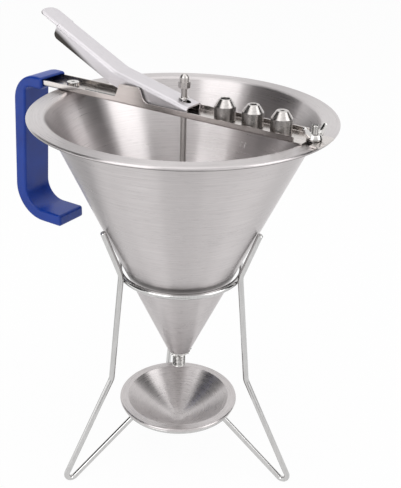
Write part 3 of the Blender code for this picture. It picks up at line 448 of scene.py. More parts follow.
def drawn_in(points, radii, depth):
    """An anticlockwise outline with rounded corners, drawn in by a depth all round."""
    corners = [Vector(p) for p in points]
    moved = []
    fitted = []
    for i, corner in enumerate(corners):
        before = (corner - corners[i - 1]).normalized()
        after = (corners[(i + 1) % len(corners)] - corner).normalized()
        inward = Vector((-before.y - after.y, before.x + after.x)) / (1 + before.dot(after))
        hollow = before.x * after.y - before.y * after.x < 0
        moved.append(corner + inward * depth)
        fitted.append(radii[i] + depth if hollow else radii[i] - depth)
    return round_corners(moved, fitted, BEND_STEPS * 2)


def wire(points, radius, sides=WIRE_SIDES, closed=False, chamfer=0.0):
    """Sweeps a round section along a path without twist; open ends get a small chamfer."""
    path = [Vector(p) for p in points]
    sizes = [radius] * len(path)
    if chamfer:
        first = (path[1] - path[0]).normalized() * chamfer
        last = (path[-1] - path[-2]).normalized() * chamfer
        path = [path[0], path[0] + first] + path[1:-1] + [path[-1] - last, path[-1]]
        sizes = [radius - chamfer, radius] + sizes[1:-1] + [radius, radius - chamfer]
    count = len(path)
    maker = bmesh.new()
    rings = []
    across = None
    for i, point in enumerate(path):
        back = path[i - 1] if closed or i > 0 else point
        ahead = path[(i + 1) % count] if closed or i < count - 1 else point
        along = (ahead - back).normalized()
        if across is None:
            across = along.orthogonal().normalized()
        across = (across - along * across.dot(along)).normalized()
        beside = along.cross(across)
        ring = []
        for k in range(sides):
            angle = tau * (k + 0.5) / sides
            outward = across * cos(angle) + beside * sin(angle)
            ring.append(maker.verts.new(point + outward * sizes[i]))
        rings.append(ring)
    return skin(maker, rings, closed)


def cone_radius(height):
    return NECK_RADIUS + (height - NECK_HEIGHT) * CONE_SLOPE


# Pieces

def new_object(name, data):
    thing = bpy.data.objects.new(name, data)
    bpy.context.scene.collection.objects.link(thing)
    return thing


def new_mesh(name, maker):
    mesh = bpy.data.meshes.new(name)
    maker.to_mesh(mesh)
    maker.free()
    return mesh


def solid(name, maker, place=(0, 0, 0), turn=0.0):
    """Turns a bmesh into an object at a place on the funnel's axis frame."""
    bmesh.ops.remove_doubles(maker, verts=maker.verts, dist=MERGE_DISTANCE)
    bmesh.ops.recalc_face_normals(maker, faces=maker.faces)
    thing = new_object(name, new_mesh(name, maker))
    thing.location = (AXIS_X + place[0], place[1], place[2])
    thing.rotation_euler = (0, 0, turn)
    return thing


def settle_modifiers(thing):
    """Writes the result of the modifiers into the mesh."""
    bpy.context.view_layer.update()
    graph = bpy.context.evaluated_depsgraph_get()
    mesh = bpy.data.meshes.new_from_object(thing.evaluated_get(graph))
    thing.modifiers.clear()
    thing.data = mesh


def carve(thing, maker, place=(0, 0, 0), turn=0.0, operation="DIFFERENCE"):
    """Takes the body of a bmesh off a piece, or joins or crosses them by another boolean operation."""
    tool = solid("tool", maker, place, turn)
    step = thing.modifiers.new("carve", "BOOLEAN")
    step.object = tool
    step.operation = operation
    step.solver = "EXACT"
    settle_modifiers(thing)
    bpy.data.objects.remove(tool, do_unlink=True)


def drill(thing, radius, low, high, place=(0, 0, 0)):
    carve(thing, lathe([(0, low), (radius, low), (radius, high), (0, high)]), place)


def soften(thing, width, segments=2):
    step = thing.modifiers.new("soften", "BEVEL")
    step.width = width
    step.segments = segments
    step.limit_method = "ANGLE"
    step.angle_limit = SHARP_ANGLE
    step.use_clamp_overlap = True
    settle_modifiers(thing)


def mark_painted_shade(thing, share):
    """Notes on each corner of a piece's faces how much painted shade darkens its steel, from 0 to 1, by
    share(place, face).
    """
    mesh = thing.data
    layer = mesh.attributes.new("painted_shade", "FLOAT", "CORNER")
    for face in mesh.polygons:
        for k in face.loop_indices:
            layer.data[k].value = share(mesh.vertices[mesh.loops[k].vertex_index].co, face)


def finish_piece(thing, material, body, node=None, even=False):
    """Shades a piece, gives it its material and makes it ride on its body in a node's place.

    A body may also be two bodies with two points: then the piece's place is only baked into its mesh, and it
    rides on no body.
    """
    thing.data.shade_smooth()
    thing.data.set_sharp_from_angle(angle=SHARP_ANGLE)
    if even:
        step = thing.modifiers.new("even", "WEIGHTED_NORMAL")
        step.keep_sharp = True
        settle_modifiers(thing)
    thing.data.materials.clear()
    thing.data.materials.append(material)
    if isinstance(body, str):
        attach(thing, body)
    else:
        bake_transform(thing)
    if node:
        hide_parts(node)


# Materials

def new_material(name):
    material = bpy.data.materials.new(name)
    material.use_nodes = True
    return material, material.node_tree, material.node_tree.nodes["Principled BSDF"]


def feed(tree, node, *values, **named):
    """Sets a node's inputs in order or by name, with _ for a space. Another node's output is linked."""
    sockets = list(node.inputs)[:len(values)] + [node.inputs[name.replace("_", " ")] for name in named]
    for socket, value in zip(sockets, (*values, *named.values())):
        if isinstance(value, bpy.types.NodeSocket):
            tree.links.new(value, socket)
        else:
            socket.default_value = value


def add_node(tree, kind, *values, **named):
    node = tree.nodes.new(kind)
    feed(tree, node, *values, **named)
    return node


def maths(tree, operation, *values):
    node = add_node(tree, "ShaderNodeMath", *values)
    node.operation = operation
    return node.outputs["Value"]


def clamped(value):
    value.node.use_clamp = True
    return value


def wave(tree, vector, scale=1.0, detail=3.0):
    """A noise texture's value at a vector."""
    node = add_node(tree, "ShaderNodeTexNoise", Vector=vector, Scale=scale, Detail=detail, Roughness=0.55)
    return node.outputs["Fac"]


def spread(tree, value, low, high, start=0.3, end=0.7):
    """Maps a value that runs from start to end onto low to high."""
    node = add_node(tree, "ShaderNodeMapRange", value, start, end, low, high)
    return node.outputs["Result"]


def tint(tree, value, dark, light):
    """A colour between two, by a value from 0 to 1."""
    node = tree.nodes.new("ShaderNodeMix")
    node.data_type = "RGBA"
    feed(tree, node, Factor=value, A=dark, B=light)
    return node.outputs["Result"]


def blend_of(tree, one, two, share):
    """A share of one value and the rest of another."""
    return maths(tree, "ADD", maths(tree, "MULTIPLY", one, share), maths(tree, "MULTIPLY", two, 1 - share))


def bump(tree, height, distance):
    return add_node(tree, "ShaderNodeBump", Height=height, Distance=distance, Strength=1.0).outputs["Normal"]


def coordinates(tree, kind="Object"):
    return tree.nodes.new("ShaderNodeTexCoord").outputs[kind]


def split(tree, vector):
    """The X, Y and Z of a vector."""
    return list(add_node(tree, "ShaderNodeSeparateXYZ", vector).outputs)


def stretched(tree, scales=(1, 1, 1)):
    """Object coordinates with each axis scaled, so that noise becomes lines."""
    return add_node(tree, "ShaderNodeMapping", Vector=coordinates(tree), Scale=scales).outputs["Vector"]


def spun(tree, across, along):
    """Coordinates round Z: 'across' counts lines per metre of slant height, 'along' sets their length."""
    x, y, z = split(tree, coordinates(tree))
    flat = add_node(tree, "ShaderNodeCombineXYZ", x, y).outputs["Vector"]
    length = add_node(tree, "ShaderNodeVectorMath", flat)
    length.operation = "LENGTH"
    unit = add_node(tree, "ShaderNodeVectorMath", flat)
    unit.operation = "NORMALIZE"
    turned = split(tree, unit.outputs["Vector"])
    slant = maths(tree, "ADD", z, length.outputs["Value"])
    pairs = ((turned[0], along), (turned[1], along), (slant, across))
    parts = [maths(tree, "MULTIPLY", value, factor) for value, factor in pairs]
    return add_node(tree, "ShaderNodeCombineXYZ", *parts).outputs["Vector"]


def lined(tree, scales):
    """Coordinates for lines: round Z by two numbers, or straight by three."""
    return spun(tree, *scales) if len(scales) == 2 else stretched(tree, scales)


def painted_shadow_band(tree, height, reach, share):
    """A painted shadow band round a piece's outer side at a height: a share in its middle and 0 beyond its
    reach.
    """
    away = maths(tree, "ABSOLUTE", maths(tree, "SUBTRACT", split(tree, coordinates(tree))[2], height))
    facing = split(tree, coordinates(tree, "Normal"))[2]
    outside = spread(tree, facing, share, 0.0, OUTER_SIDE_FACES, 0.0)
    return maths(tree, "MULTIPLY", spread(tree, away, 1.0, 0.0, reach / 3, reach), outside)


def steel(name, dark, light, rough, lines, patches, grain=None, dashes=None, shadow_band=None, depth=LINE_DEPTH):
    """Steel with fine lines and patches, and if asked a grain round Z, short darker dashes and a painted
    shadow band.
    """
    material, tree, shader = new_material(name)
    stroke = wave(tree, lined(tree, lines))
    mixed = blend_of(tree, stroke, wave(tree, stretched(tree), patches), LINE_SHARE)
    shade = spread(tree, mixed, 0.0, 1.0)
    if dashes:
        dash = spread(tree, wave(tree, lined(tree, dashes), detail=2.0), 0.0, DASH_SHADE, *DASH_RANGE)
        shade = clamped(maths(tree, "SUBTRACT", shade, dash))
    # Painted shade: the face attribute, and a painted shadow band if asked, darken the steel's colour
    # towards a near-black colour
    mark = tree.nodes.new("ShaderNodeAttribute")
    mark.attribute_name = "painted_shade"
    painted_shade = mark.outputs["Fac"]
    if shadow_band:
        painted_shade = clamped(maths(tree, "ADD", painted_shade, painted_shadow_band(tree, *shadow_band)))
    colour = tint(tree, painted_shade, tint(tree, shade, (*dark, 1), (*light, 1)), PAINTED_SHADE_STEEL)
    roughness = spread(tree, mixed, *rough)
    normal = bump(tree, stroke, depth)
    feed(tree, shader, Metallic=1.0, Base_Color=colour, Roughness=roughness, Normal=normal)
    if grain:
        tangent = tree.nodes.new("ShaderNodeTangent")
        tangent.direction_type = "RADIAL"
        tangent.axis = "Z"
        feed(tree, shader, Tangent=tangent.outputs["Tangent"], Anisotropic=grain, Anisotropic_Rotation=0.25)
    return material


def plastic(name, dark, light):
    """Moulded plastic with soft patches, a fine pebble grain and scuffs that run up and down."""
    material, tree, shader = new_material(name)
    patch = wave(tree, stretched(tree), 45.0, 4.0)
    pebble = wave(tree, stretched(tree), 1900.0, 2.0)
    scuff = wave(tree, stretched(tree, (900, 900, 60)))
    colour = tint(tree, spread(tree, patch, 0.0, 1.0), (*dark, 1), (*light, 1))
    roughness = spread(tree, blend_of(tree, patch, scuff, 0.5), *PLASTIC_ROUGHNESS)
    relief = maths(tree, "ADD", pebble, maths(tree, "MULTIPLY", scuff, SCUFF_DEPTH_SHARE))
    normal = bump(tree, relief, PEBBLE_DEPTH)
    feed(tree, shader, Base_Color=colour, Roughness=roughness, Normal=normal, Specular_IOR_Level=0.42)
    return material


# The funnel's outer side gets a painted contact shadow just above the waist ring
FUNNEL_STEEL = steel(
    "funnel_steel", (0.53, 0.502, 0.502), (0.65, 0.618, 0.618), (0.26, 0.35), (1100, 2.5), 30.0, 0.98,
    (620, 8), (WAIST_RING_HEIGHT + RING_WIRE_RADIUS + GAP, 0.004, 0.68), 0.0000014,
)
BOWL_STEEL = steel(
    "bowl_steel", (0.51, 0.484, 0.482), (0.64, 0.608, 0.606), (0.25, 0.33), (1500, 2.5), 60.0, 0.95,
    (900, 6),
)
TURNED_STEEL = steel(
    "turned_steel", (0.48, 0.455, 0.44), (0.62, 0.595, 0.58), (0.24, 0.34), (3200, 3), 220.0, 0.8,
)
BAR_STEEL = steel(
    "bar_steel", (0.57, 0.536, 0.514), (0.69, 0.65, 0.626), (0.18, 0.28), (24, 1500, 1500), 60.0,
)
LEVER_STEEL = steel(
    "lever_steel", (0.62, 0.596, 0.616), (0.7, 0.676, 0.696), (0.38, 0.48), (30, 1300, 500), 50.0,
)
BRIGHT_STEEL = steel(
    "bright_steel", (0.6, 0.585, 0.57), (0.72, 0.705, 0.69), (0.1, 0.2), (2600, 4), 400.0,
)
WIRE_STEEL = steel(
    "wire_steel", (0.5, 0.495, 0.49), (0.62, 0.615, 0.61), (0.1, 0.18), (900, 900, 60), 120.0,
)
SPRING_STEEL = steel(
    "spring_steel", (0.34, 0.34, 0.35), (0.52, 0.52, 0.53), (0.22, 0.36), (700, 700, 700), 500.0,
)
BLUE_PLASTIC = plastic("blue_plastic", (0.001, 0.03, 0.25), (0.003, 0.044, 0.33))


# Funnel and spout

def dress_funnel():
    under = RIM_HEIGHT - FUNNEL_SHEET
    bead = (RIM_RADIUS - RIM_BEAD_RADIUS, RIM_HEIGHT - RIM_BEAD_RADIUS)
    lean = asin((RIM_BEAD_RADIUS - FUNNEL_SHEET) / RIM_BEAD_RADIUS)
    edge = arc(bead, RIM_BEAD_RADIUS, 90, degrees(lean) - 180)
    edge += [(bead[0] - RIM_BEAD_RADIUS * cos(lean), under)]
    inner = [(NECK_RADIUS - CONE_WALL, NECK_HEIGHT), (MOUTH_RADIUS - CONE_WALL, RIM_HEIGHT), edge[0]]
    outer = [edge[-1], (cone_radius(under), under), (NECK_RADIUS, NECK_HEIGHT)]
    outline = round_corners(inner, (0, MOUTH_FILLET, 0)) + edge[1:-1]
    outline += round_corners(outer, (0, MOUTH_FILLET - FUNNEL_SHEET, 0))
    cone = solid("funnel_body", lathe(outline, RIM_STEPS))
    for side in (-1, 1):
        place = (side * BOLT_RADIUS, 0, RIM_HEIGHT)
        drill(cone, SCREW_RADIUS + GAP, -OVERRUN * 2, OVERRUN, place)
    bead_low = under - RIM_BEAD_RADIUS
    # Painted shade on the faces under the rim's bead
    mark_painted_shade(cone, lambda place, face: RIM_PAINTED_SHADE * (face.normal.z < RIM_UNDERSIDE and place.z > bead_low))
    finish_piece(cone, FUNNEL_STEEL, "funnel", "funnel_cone")


def helix(low, high, pitch, depth):
    """Moves a lathe's points in to cut one screw thread between two heights."""
    def shape(r, z, angle):
        if r < depth * 2 or not low < z < high:
            return r, z
        turn = (z / pitch - angle / tau) % 1
        groove = min(1, abs(turn - 0.5) * THREAD_FLANKS)
        fade = min(1, (z - low) / pitch, (high - z) / pitch)
        return r - depth * (1 - groove) * fade, z
    return shape


def threaded(radius, low, high, pitch):
    """Points up the side of a threaded stretch, close enough together for its thread."""
    steps = round((high - low) / pitch * THREAD_POINTS)
    return [(radius, low + (high - low) * k / steps) for k in range(steps + 1)]


def groove_painted_shade(radius, depth):
    """Painted shade in the bottom of a thread that is cut to a depth below a radius."""
    return lambda place, face: max(0, min(1, (radius - place.xy.length) / depth * 1.4 - 0.2))


def dress_spout():
    thread_top = SPOUT_TOP - COLLAR_LENGTH
    rise = COLLAR_LENGTH - COLLAR_EDGE
    width = NECK_RADIUS - THREAD_RADIUS
    outline = [(BORE_RADIUS, SPOUT_TOP - SEAT_DEPTH), (BORE_RADIUS, SPOUT_BOTTOM)]
    outline += [(THREAD_RADIUS - THREAD_DEPTH, SPOUT_BOTTOM)]
    outline += threaded(THREAD_RADIUS, SPOUT_BOTTOM, thread_top, THREAD_PITCH)[1:]
    outline += [(THREAD_RADIUS + width * out, thread_top + rise * up) for out, up in COLLAR_SHARES]
    outline += [(NECK_RADIUS, SPOUT_TOP), (BORE_RADIUS + SEAT_DEPTH, SPOUT_TOP)]
    groove = helix(SPOUT_BOTTOM, thread_top, THREAD_PITCH, THREAD_DEPTH)

    def shape(r, z, angle):
        """Thread below, and above it the lumps of the weld that joins the spout to the cone."""
        if r < THREAD_RADIUS - THREAD_DEPTH * 2:
            return r, z
        if z > thread_top and r < NECK_RADIUS:
            lump = noise.noise(Vector((*polar(r, angle), z)) * COLLAR_LUMPS) - COLLAR_LUMP_SHIFT
            return r + COLLAR_LUMP * lump, z
        return groove(r, z, angle)

    spout = solid("spout_body", lathe(outline, SMALL_STEPS * 2, shape))
    # Painted shade in the spout thread's grooves
    mark_painted_shade(spout, groove_painted_shade(THREAD_RADIUS, THREAD_DEPTH))
    finish_piece(spout, BRIGHT_STEEL, "funnel", "spout")


def inside_wall(turn, height):
    """A place on the cone's inner side, by its angle about the axis and its height."""
    return Vector((*polar(cone_radius(height) - CONE_WALL, radians(turn)), height))


def dress_level_marks():
    """Two short slanted strokes raised on the inside of the cone: a plain level mark."""
    for k, (low_turn, low, high_turn, high) in enumerate(LEVEL_STROKES):
        foot, head = inside_wall(low_turn, low), inside_wall(high_turn, high)
        points = [foot.lerp(head, step / LEVEL_STEPS) for step in range(LEVEL_STEPS + 1)]
        maker = wire(points, LEVEL_STROKE_RADIUS, chamfer=LEVEL_STROKE_RADIUS / 2)
        finish_piece(solid(f"level_stroke_{k + 1}", maker), FUNNEL_STEEL, "funnel")


# Stopper

def dress_rod():
    bottom = PLUG_NOSE_HEIGHT + PLUG_RADIUS
    top = RIM_HEIGHT + ROD_TOP_ABOVE_RIM
    outline = [(0, bottom), (ROD_RADIUS, bottom), (ROD_RADIUS, top - ROD_CHAMFER)]
    outline += [(ROD_RADIUS - ROD_CHAMFER, top), (0, top)]
    finish_piece(solid("rod", lathe(outline)), BRIGHT_STEEL, "rod", "stopper_rod")


def dress_plug():
    nose = PLUG_NOSE_HEIGHT
    widest = nose + PLUG_RADIUS - PLUG_NOSE_RADIUS
    top = nose + PLUG_LENGTH
    socket_radius = ROD_RADIUS + GAP
    socket_bottom = nose + PLUG_RADIUS - GAP
    land = widest + PLUG_NOSE_RADIUS / 2
    outline = [(0, nose), (PLUG_NOSE_RADIUS, nose), (PLUG_RADIUS, widest), (PLUG_RADIUS, land)]
    outline += [(PLUG_NECK_RADIUS, land + PLUG_RADIUS - PLUG_NECK_RADIUS), (PLUG_NECK_RADIUS, top)]
    outline += [(socket_radius, top), (socket_radius, socket_bottom), (0, socket_bottom)]
    finish_piece(solid("plug", lathe(outline)), TURNED_STEEL, "rod", "stopper_plug")


def dress_clip():
    """Snap ring with an open side, just above the lever's top sheet."""
    outline = arc((0, 0), CLIP_RADIUS, CLIP_MOUTH, 360 - CLIP_MOUTH, SMALL_STEPS)
    outline += arc((0, 0), ROD_RADIUS + GAP, 360 - CLIP_MOUTH, CLIP_MOUTH, SMALL_STEPS)
    lever_top = RIM_HEIGHT + LEVER_KNEE_ABOVE_RIM + (CLIP_RADIUS + LEVER_KNEE_X) * tan(LEVER_FALL)
    place = (0, 0, lever_top + GAP)
    clip = solid("clip", slab(outline, 0, CLIP_THICKNESS, "XY"), place)
    soften(clip, GAP / 2)
    finish_piece(clip, BRIGHT_STEEL, "rod", "rod_clip")


def hex_nut(name, height, place):
    """Hexagon nut with its corners turned off."""
    face = HEX_FLATS / 2
    corner = face / cos(radians(30))
    nut = solid(name, slab(arc((0, 0), corner, 30, 330, 5), 0, height, "XY"), place)
    wide = corner + GAP
    outline = [(0, 0), (face, 0), (wide, HEX_CHAMFER), (wide, height - HEX_CHAMFER)]
    carve(nut, lathe(outline + [(face, height), (0, height)]), place, operation="INTERSECT")
    return nut


def dress_cap_nut():
    place = (0, 0, RIM_HEIGHT + CAP_ABOVE_RIM)
    nut = hex_nut("cap_nut_body", CAP_HEX_HEIGHT, place)
    low = CAP_HEX_HEIGHT - OVERRUN
    dome = [(0, low), (CAP_DOME_RADIUS, low)]
    dome += arc((0, CAP_HEIGHT - CAP_DOME_RADIUS), CAP_DOME_RADIUS, 0, 90)
    dome[-1] = (0, CAP_HEIGHT)
    carve(nut, lathe(dome), place, operation="UNION")
    drill(nut, ROD_RADIUS + GAP, -OVERRUN, ROD_TOP_ABOVE_RIM - CAP_ABOVE_RIM + GAP, place)
    finish_piece(nut, TURNED_STEEL, "rod", "cap_nut")


# Fasteners on the rim

def dress_rim_screw():
    head = SCREW_HEAD_HEIGHT
    shank_end = -(BAR_FLOOR - RIM_HEIGHT + FUNNEL_SHEET + RIM_NUT_HEIGHT + GAP * 3)
    rim = [(SCREW_RADIUS, 0), (SCREW_HEAD_RADIUS, 0), (SCREW_HEAD_RADIUS, head), (0, head)]
    outline = [(0, shank_end), (SCREW_RADIUS, shank_end)]
    outline += round_corners(rim, (0, SCREW_HEAD_EDGE / 2, SCREW_HEAD_EDGE, 0))
    place = (-BOLT_RADIUS, 0, BAR_FLOOR + GAP)
    screw = solid("screw", lathe(outline), place)
    arm = RECESS_LENGTH / 2
    half = RECESS_WIDTH / 2
    cross = [(arm, -half), (arm, half), (half, half), (half, arm), (-half, arm), (-half, half)]
    cross += [(-a, -b) for a, b in cross]
    carve(screw, slab(cross, head - RECESS_DEPTH, head + OVERRUN, "XY"), place)
    finish_piece(screw, BRIGHT_STEEL, "funnel", "rim_screw")


def dress_rim_nut():
    place = (-BOLT_RADIUS, 0, RIM_HEIGHT - FUNNEL_SHEET - GAP - RIM_NUT_HEIGHT)
    nut = hex_nut("rim_nut_body", RIM_NUT_HEIGHT, place)
    drill(nut, SCREW_RADIUS + GAP, -OVERRUN, RIM_NUT_HEIGHT + OVERRUN, place)
    finish_piece(nut, BRIGHT_STEEL, "funnel", "rim_nut")


def dress_stud():
    head_top = -FUNNEL_SHEET - GAP
    side_top = STUD_TOP_ABOVE_RIM - ROD_CHAMFER
    outline = [(0, head_top - STUD_HEAD_HEIGHT), (STUD_HEAD_RADIUS, head_top - STUD_HEAD_HEIGHT)]
    outline += [(STUD_HEAD_RADIUS, head_top)] + threaded(SCREW_RADIUS, head_top, side_top, STUD_PITCH)
    outline += [(SCREW_RADIUS - ROD_CHAMFER, STUD_TOP_ABOVE_RIM), (0, STUD_TOP_ABOVE_RIM)]
    shape = helix(head_top, side_top, STUD_PITCH, STUD_THREAD_DEPTH)
    stud = solid("stud", lathe(outline, shape=shape), (BOLT_RADIUS, 0, RIM_HEIGHT))
    # Painted shade in the stud thread's grooves
    mark_painted_shade(stud, groove_painted_shade(SCREW_RADIUS, STUD_THREAD_DEPTH))
    finish_piece(stud, BRIGHT_STEEL, "funnel", "rim_stud")


def dress_wing_nut():
    """Cast wing nut: base and wings are fused by a fine remesh that rounds where they meet."""
    place = (BOLT_RADIUS, 0, BAR_FLOOR + GAP)
    top = WING_NUT_BASE_HEIGHT
    outline = [(0, 0), (WING_NUT_BASE_RADIUS, 0), (WING_NUT_BASE_RADIUS, WING_NUT_FOOT_HEIGHT)]
    outline += [(WING_NUT_WAIST_RADIUS, top), (0, top)]
    nut = solid("wing_nut_body", lathe(outline), place, WING_NUT_TURN)
    wings = [(WING_NUT_SPAN / 2 * a, WING_NUT_HEIGHT * b) for a, b in WING_SHARES]
    wings += [(-a, b) for a, b in reversed(wings)]
    wings = round_corners(wings, [WING_CORNER] * len(wings))
    blade = solid("blade", slab(wings, -WING_THICKNESS / 2, WING_THICKNESS / 2))
    soften(blade, WING_CORNER, 3)
    maker = bmesh.new()
    maker.from_mesh(nut.data)
    maker.from_mesh(blade.data)
    maker.to_mesh(nut.data)
    maker.free()
    bpy.data.objects.remove(blade)
    remesh = nut.modifiers.new("fuse", "REMESH")
    remesh.mode = "VOXEL"
    remesh.voxel_size = WING_VOXEL
    smooth = nut.modifiers.new("cast", "SMOOTH")
    smooth.iterations = 6
    settle_modifiers(nut)
    drill(nut, SCREW_RADIUS + GAP, -OVERRUN, WING_NUT_HEIGHT, place)
    # Painted shade low on the sides of the hub and wings, strongest at the foot
    mark_painted_shade(nut, lambda place, face: max(0, WING_NUT_PAINTED_SHADE - place.z / top) * (1 - abs(face.normal.z)))
    finish_piece(nut, BRIGHT_STEEL, "wing_nut", "wing_nut")


# Channel bar

def bar_profile():
    """Side of the folded channel with the ear that carries the lever, down to the floor."""
    left = HANDLE_FRONT_X - POCKET_DEPTH - OVERRUN
    low = RIM_HEIGHT - OVERRUN
    top = BAR_BOTTOM + BAR_WALL_HEIGHT
    ear_top = BAR_BOTTOM + EAR_HEIGHT
    foot = EAR_FOOT_LENGTH / 2
    crest = EAR_TOP_LENGTH / 2
    points = [(left, low), (BAR_WALL_END, low), (BAR_WALL_END, top), (PIVOT_X + foot, top)]
    points += [(PIVOT_X + crest, ear_top), (PIVOT_X - crest, ear_top), (PIVOT_X - foot, top), (left, top)]
    return round_corners(points, (0, 0, BAR_SHEET, EAR_CORNER * 2, EAR_CORNER, EAR_CORNER, EAR_CORNER, 0))


def bar_section(half, floor, bend, high):
    """One side of the folded sheet across the bar, from wall to wall."""
    points = [(-half, high), (-half, floor), (half, floor), (half, high)]
    return round_corners(points, (0, bend, bend, 0))


def dress_bar():
    half = BAR_WIDTH / 2
    past = half + OVERRUN
    high = BAR_BOTTOM + EAR_HEIGHT + OVERRUN
    section = bar_section(half, BAR_BOTTOM, BAR_BEND, high)
    section += reversed(bar_section(half - BAR_SHEET, BAR_FLOOR, BAR_BEND - BAR_SHEET, high))
    bar = solid("bar", slab(section, HANDLE_FRONT_X - POCKET_DEPTH, BAR_WALL_END, "YZ"))
    carve(bar, slab(bar_profile(), -past, past), operation="INTERSECT")
    side = half - BAR_BEND
    joint = BAR_WALL_END - OVERRUN
    tongue = [(joint, -side), (BAR_WALL_END, -half), (BAR_TONGUE_END, -half)]
    tongue += [(BAR_TONGUE_END, half), (BAR_WALL_END, half), (joint, side)]
    tongue = round_corners(tongue, (0, 0, BAR_CORNER, BAR_CORNER, 0, 0))
    carve(bar, slab(tongue, BAR_BOTTOM, BAR_FLOOR, "XY"), operation="UNION")
    bottom = BAR_BOTTOM - OVERRUN
    top = BAR_FLOOR + OVERRUN
    drill(bar, SCREW_RADIUS + GAP, bottom, top, (-BOLT_RADIUS, 0, 0))
    drill(bar, ROD_HOLE_RADIUS, bottom, top)
    width = STUD_SLOT_WIDTH / 2
    slot = [(width, -past)] + arc((0, 0), width, 0, 180) + [(-width, -past)]
    carve(bar, slab(slot, bottom, top, "XY"), (BOLT_RADIUS, 0, 0))
    soften(bar, GAP)
    finish_piece(bar, BAR_STEEL, "funnel", "channel_bar", True)


# Lever, its pin and its spring

def lever_path():
    """Middle of the lever's top sheet from the thumb end to the rod end, about the pivot.

    Each spot goes with its distance from the thumb end as far as the skirts' corners, and then with None.
    """
    thumb = LEVER_KNEE + LEVER_AHEAD * LEVER_FRONT_LENGTH
    rear = LEVER_KNEE + LEVER_BACK * LEVER_REAR_LENGTH
    bend = round_corners([thumb, LEVER_KNEE, rear], (0, LEVER_KNEE_RADIUS, 0), LEVER_KNEE_STEPS)
    bend = [Vector(p) for p in bend]
    along = (bend[1] - bend[0]).normalized()
    marks = [LEVER_TIP_CORNER * (1 - cos(a)) for a in quarter(LEVER_TIP_STEPS)]
    for a in quarter(LEVER_SKIRT_STEPS):
        marks.append(LEVER_THUMB_LENGTH + LEVER_SKIRT_CORNER * (1 - cos(a)))
    path = [(bend[0] + along * mark, mark) for mark in marks]
    path += [(spot, None) for spot in bend[1:-1]]
    for k in range(LEVER_STRAIGHT_STEPS):
        path.append((bend[-2].lerp(bend[-1], (k + 1) / LEVER_STRAIGHT_STEPS), None))
    return path


def lever_section(half, depth):
    """A section of the folded sheet, as (across, down): over its outer side and back along its inner one."""
    loop = []
    for way, sheet in ((1, 0), (-1, LEVER_SHEET)):
        radius = LEVER_FOLD_RADIUS - sheet
        fold = min(radius, max(depth - sheet, 0) * LEVER_FOLD_SHARE)
        side = [(half - sheet, -depth)]
        for a in quarter(LEVER_FOLD_STEPS):
            side.append((half - sheet - radius * (1 - cos(a)), -sheet - fold * (1 - sin(a))))
        loop += [(way * y, d) for y, d in side] + [(-way * y, d) for y, d in reversed(side)]
    return loop


def lever_rings(maker):
    """Sections along the lever, narrower round its tip and shallower on its thumb end."""
    stations = lever_path()
    last = len(stations) - 1
    marked = sum(1 for spot, mark in stations if mark is not None)
    rings = []
    for i, (spot, mark) in enumerate(stations):
        along = (stations[min(i + 1, last)][0] - stations[max(i - 1, 0)][0]).normalized()
        normal = Vector((-along.y, along.x))
        half = LEVER_WIDTH / 2
        share = max(0, min(1, (i - marked) / (last - marked)))
        depth = LEVER_DEPTH + (LEVER_REAR_DEPTH - LEVER_DEPTH) * sqrt(share)
        if mark is not None:
            inset = max(LEVER_TIP_CORNER - mark, 0)
            half -= LEVER_TIP_CORNER - sqrt(LEVER_TIP_CORNER**2 - inset**2)
            into_skirt = (mark - LEVER_THUMB_LENGTH) / LEVER_SKIRT_CORNER
            if into_skirt <= 0:
                depth = LEVER_TIP_DEPTH
            else:
                depth = LEVER_DEPTH - LEVER_SKIRT_CORNER * (1 - sqrt(1 - (1 - into_skirt) ** 2))
        points = [(spot + normal * down, across) for across, down in lever_section(half, depth)]
        rings.append([maker.verts.new((point.x, across, point.y)) for point, across in points])
    return rings


def close_section(maker, ring):
    """Closes the lever's end between the outer and the inner side of its sheet."""
    count = len(ring)
    side = count // 4
    for k in range(2 * side - 1):
        if k != side - 1:
            maker.faces.new((ring[k], ring[k + 1], ring[count - 2 - k], ring[count - 1 - k]))
    maker.faces.new((ring[side - 1], ring[side], ring[3 * side - 1], ring[3 * side]))


def lever_painted_shade_share():
    """Painted shade on the lever's inner side, and a painted dark reflection down its skirts where they come
    near the thumb end.
    """
    path = lever_path()
    start = path[0][0]
    along = (path[1][0] - start).normalized()
    length = LEVER_FRONT_LENGTH - LEVER_THUMB_LENGTH

    def share(place, face):
        if face.normal.z < LEVER_UNDERSIDE or face.normal.y * face.center.y < -LEVER_SHEET:
            return 1 if place.x > 0 else LEVER_INNER_PAINTED_SHADE
        spot = Vector((place.x, place.z)) - start
        down = along.x * -spot.y + along.y * spot.x
        skirt = (down - LEVER_FOLD_RADIUS) / (LEVER_DEPTH - LEVER_FOLD_RADIUS)
        fade = 1 - (spot.dot(along) - LEVER_THUMB_LENGTH) / length
        return LEVER_SKIRT_PAINTED_REFLECTION * max(0, skirt) * max(0, min(1, fade)) * abs(face.normal.y)

    return share


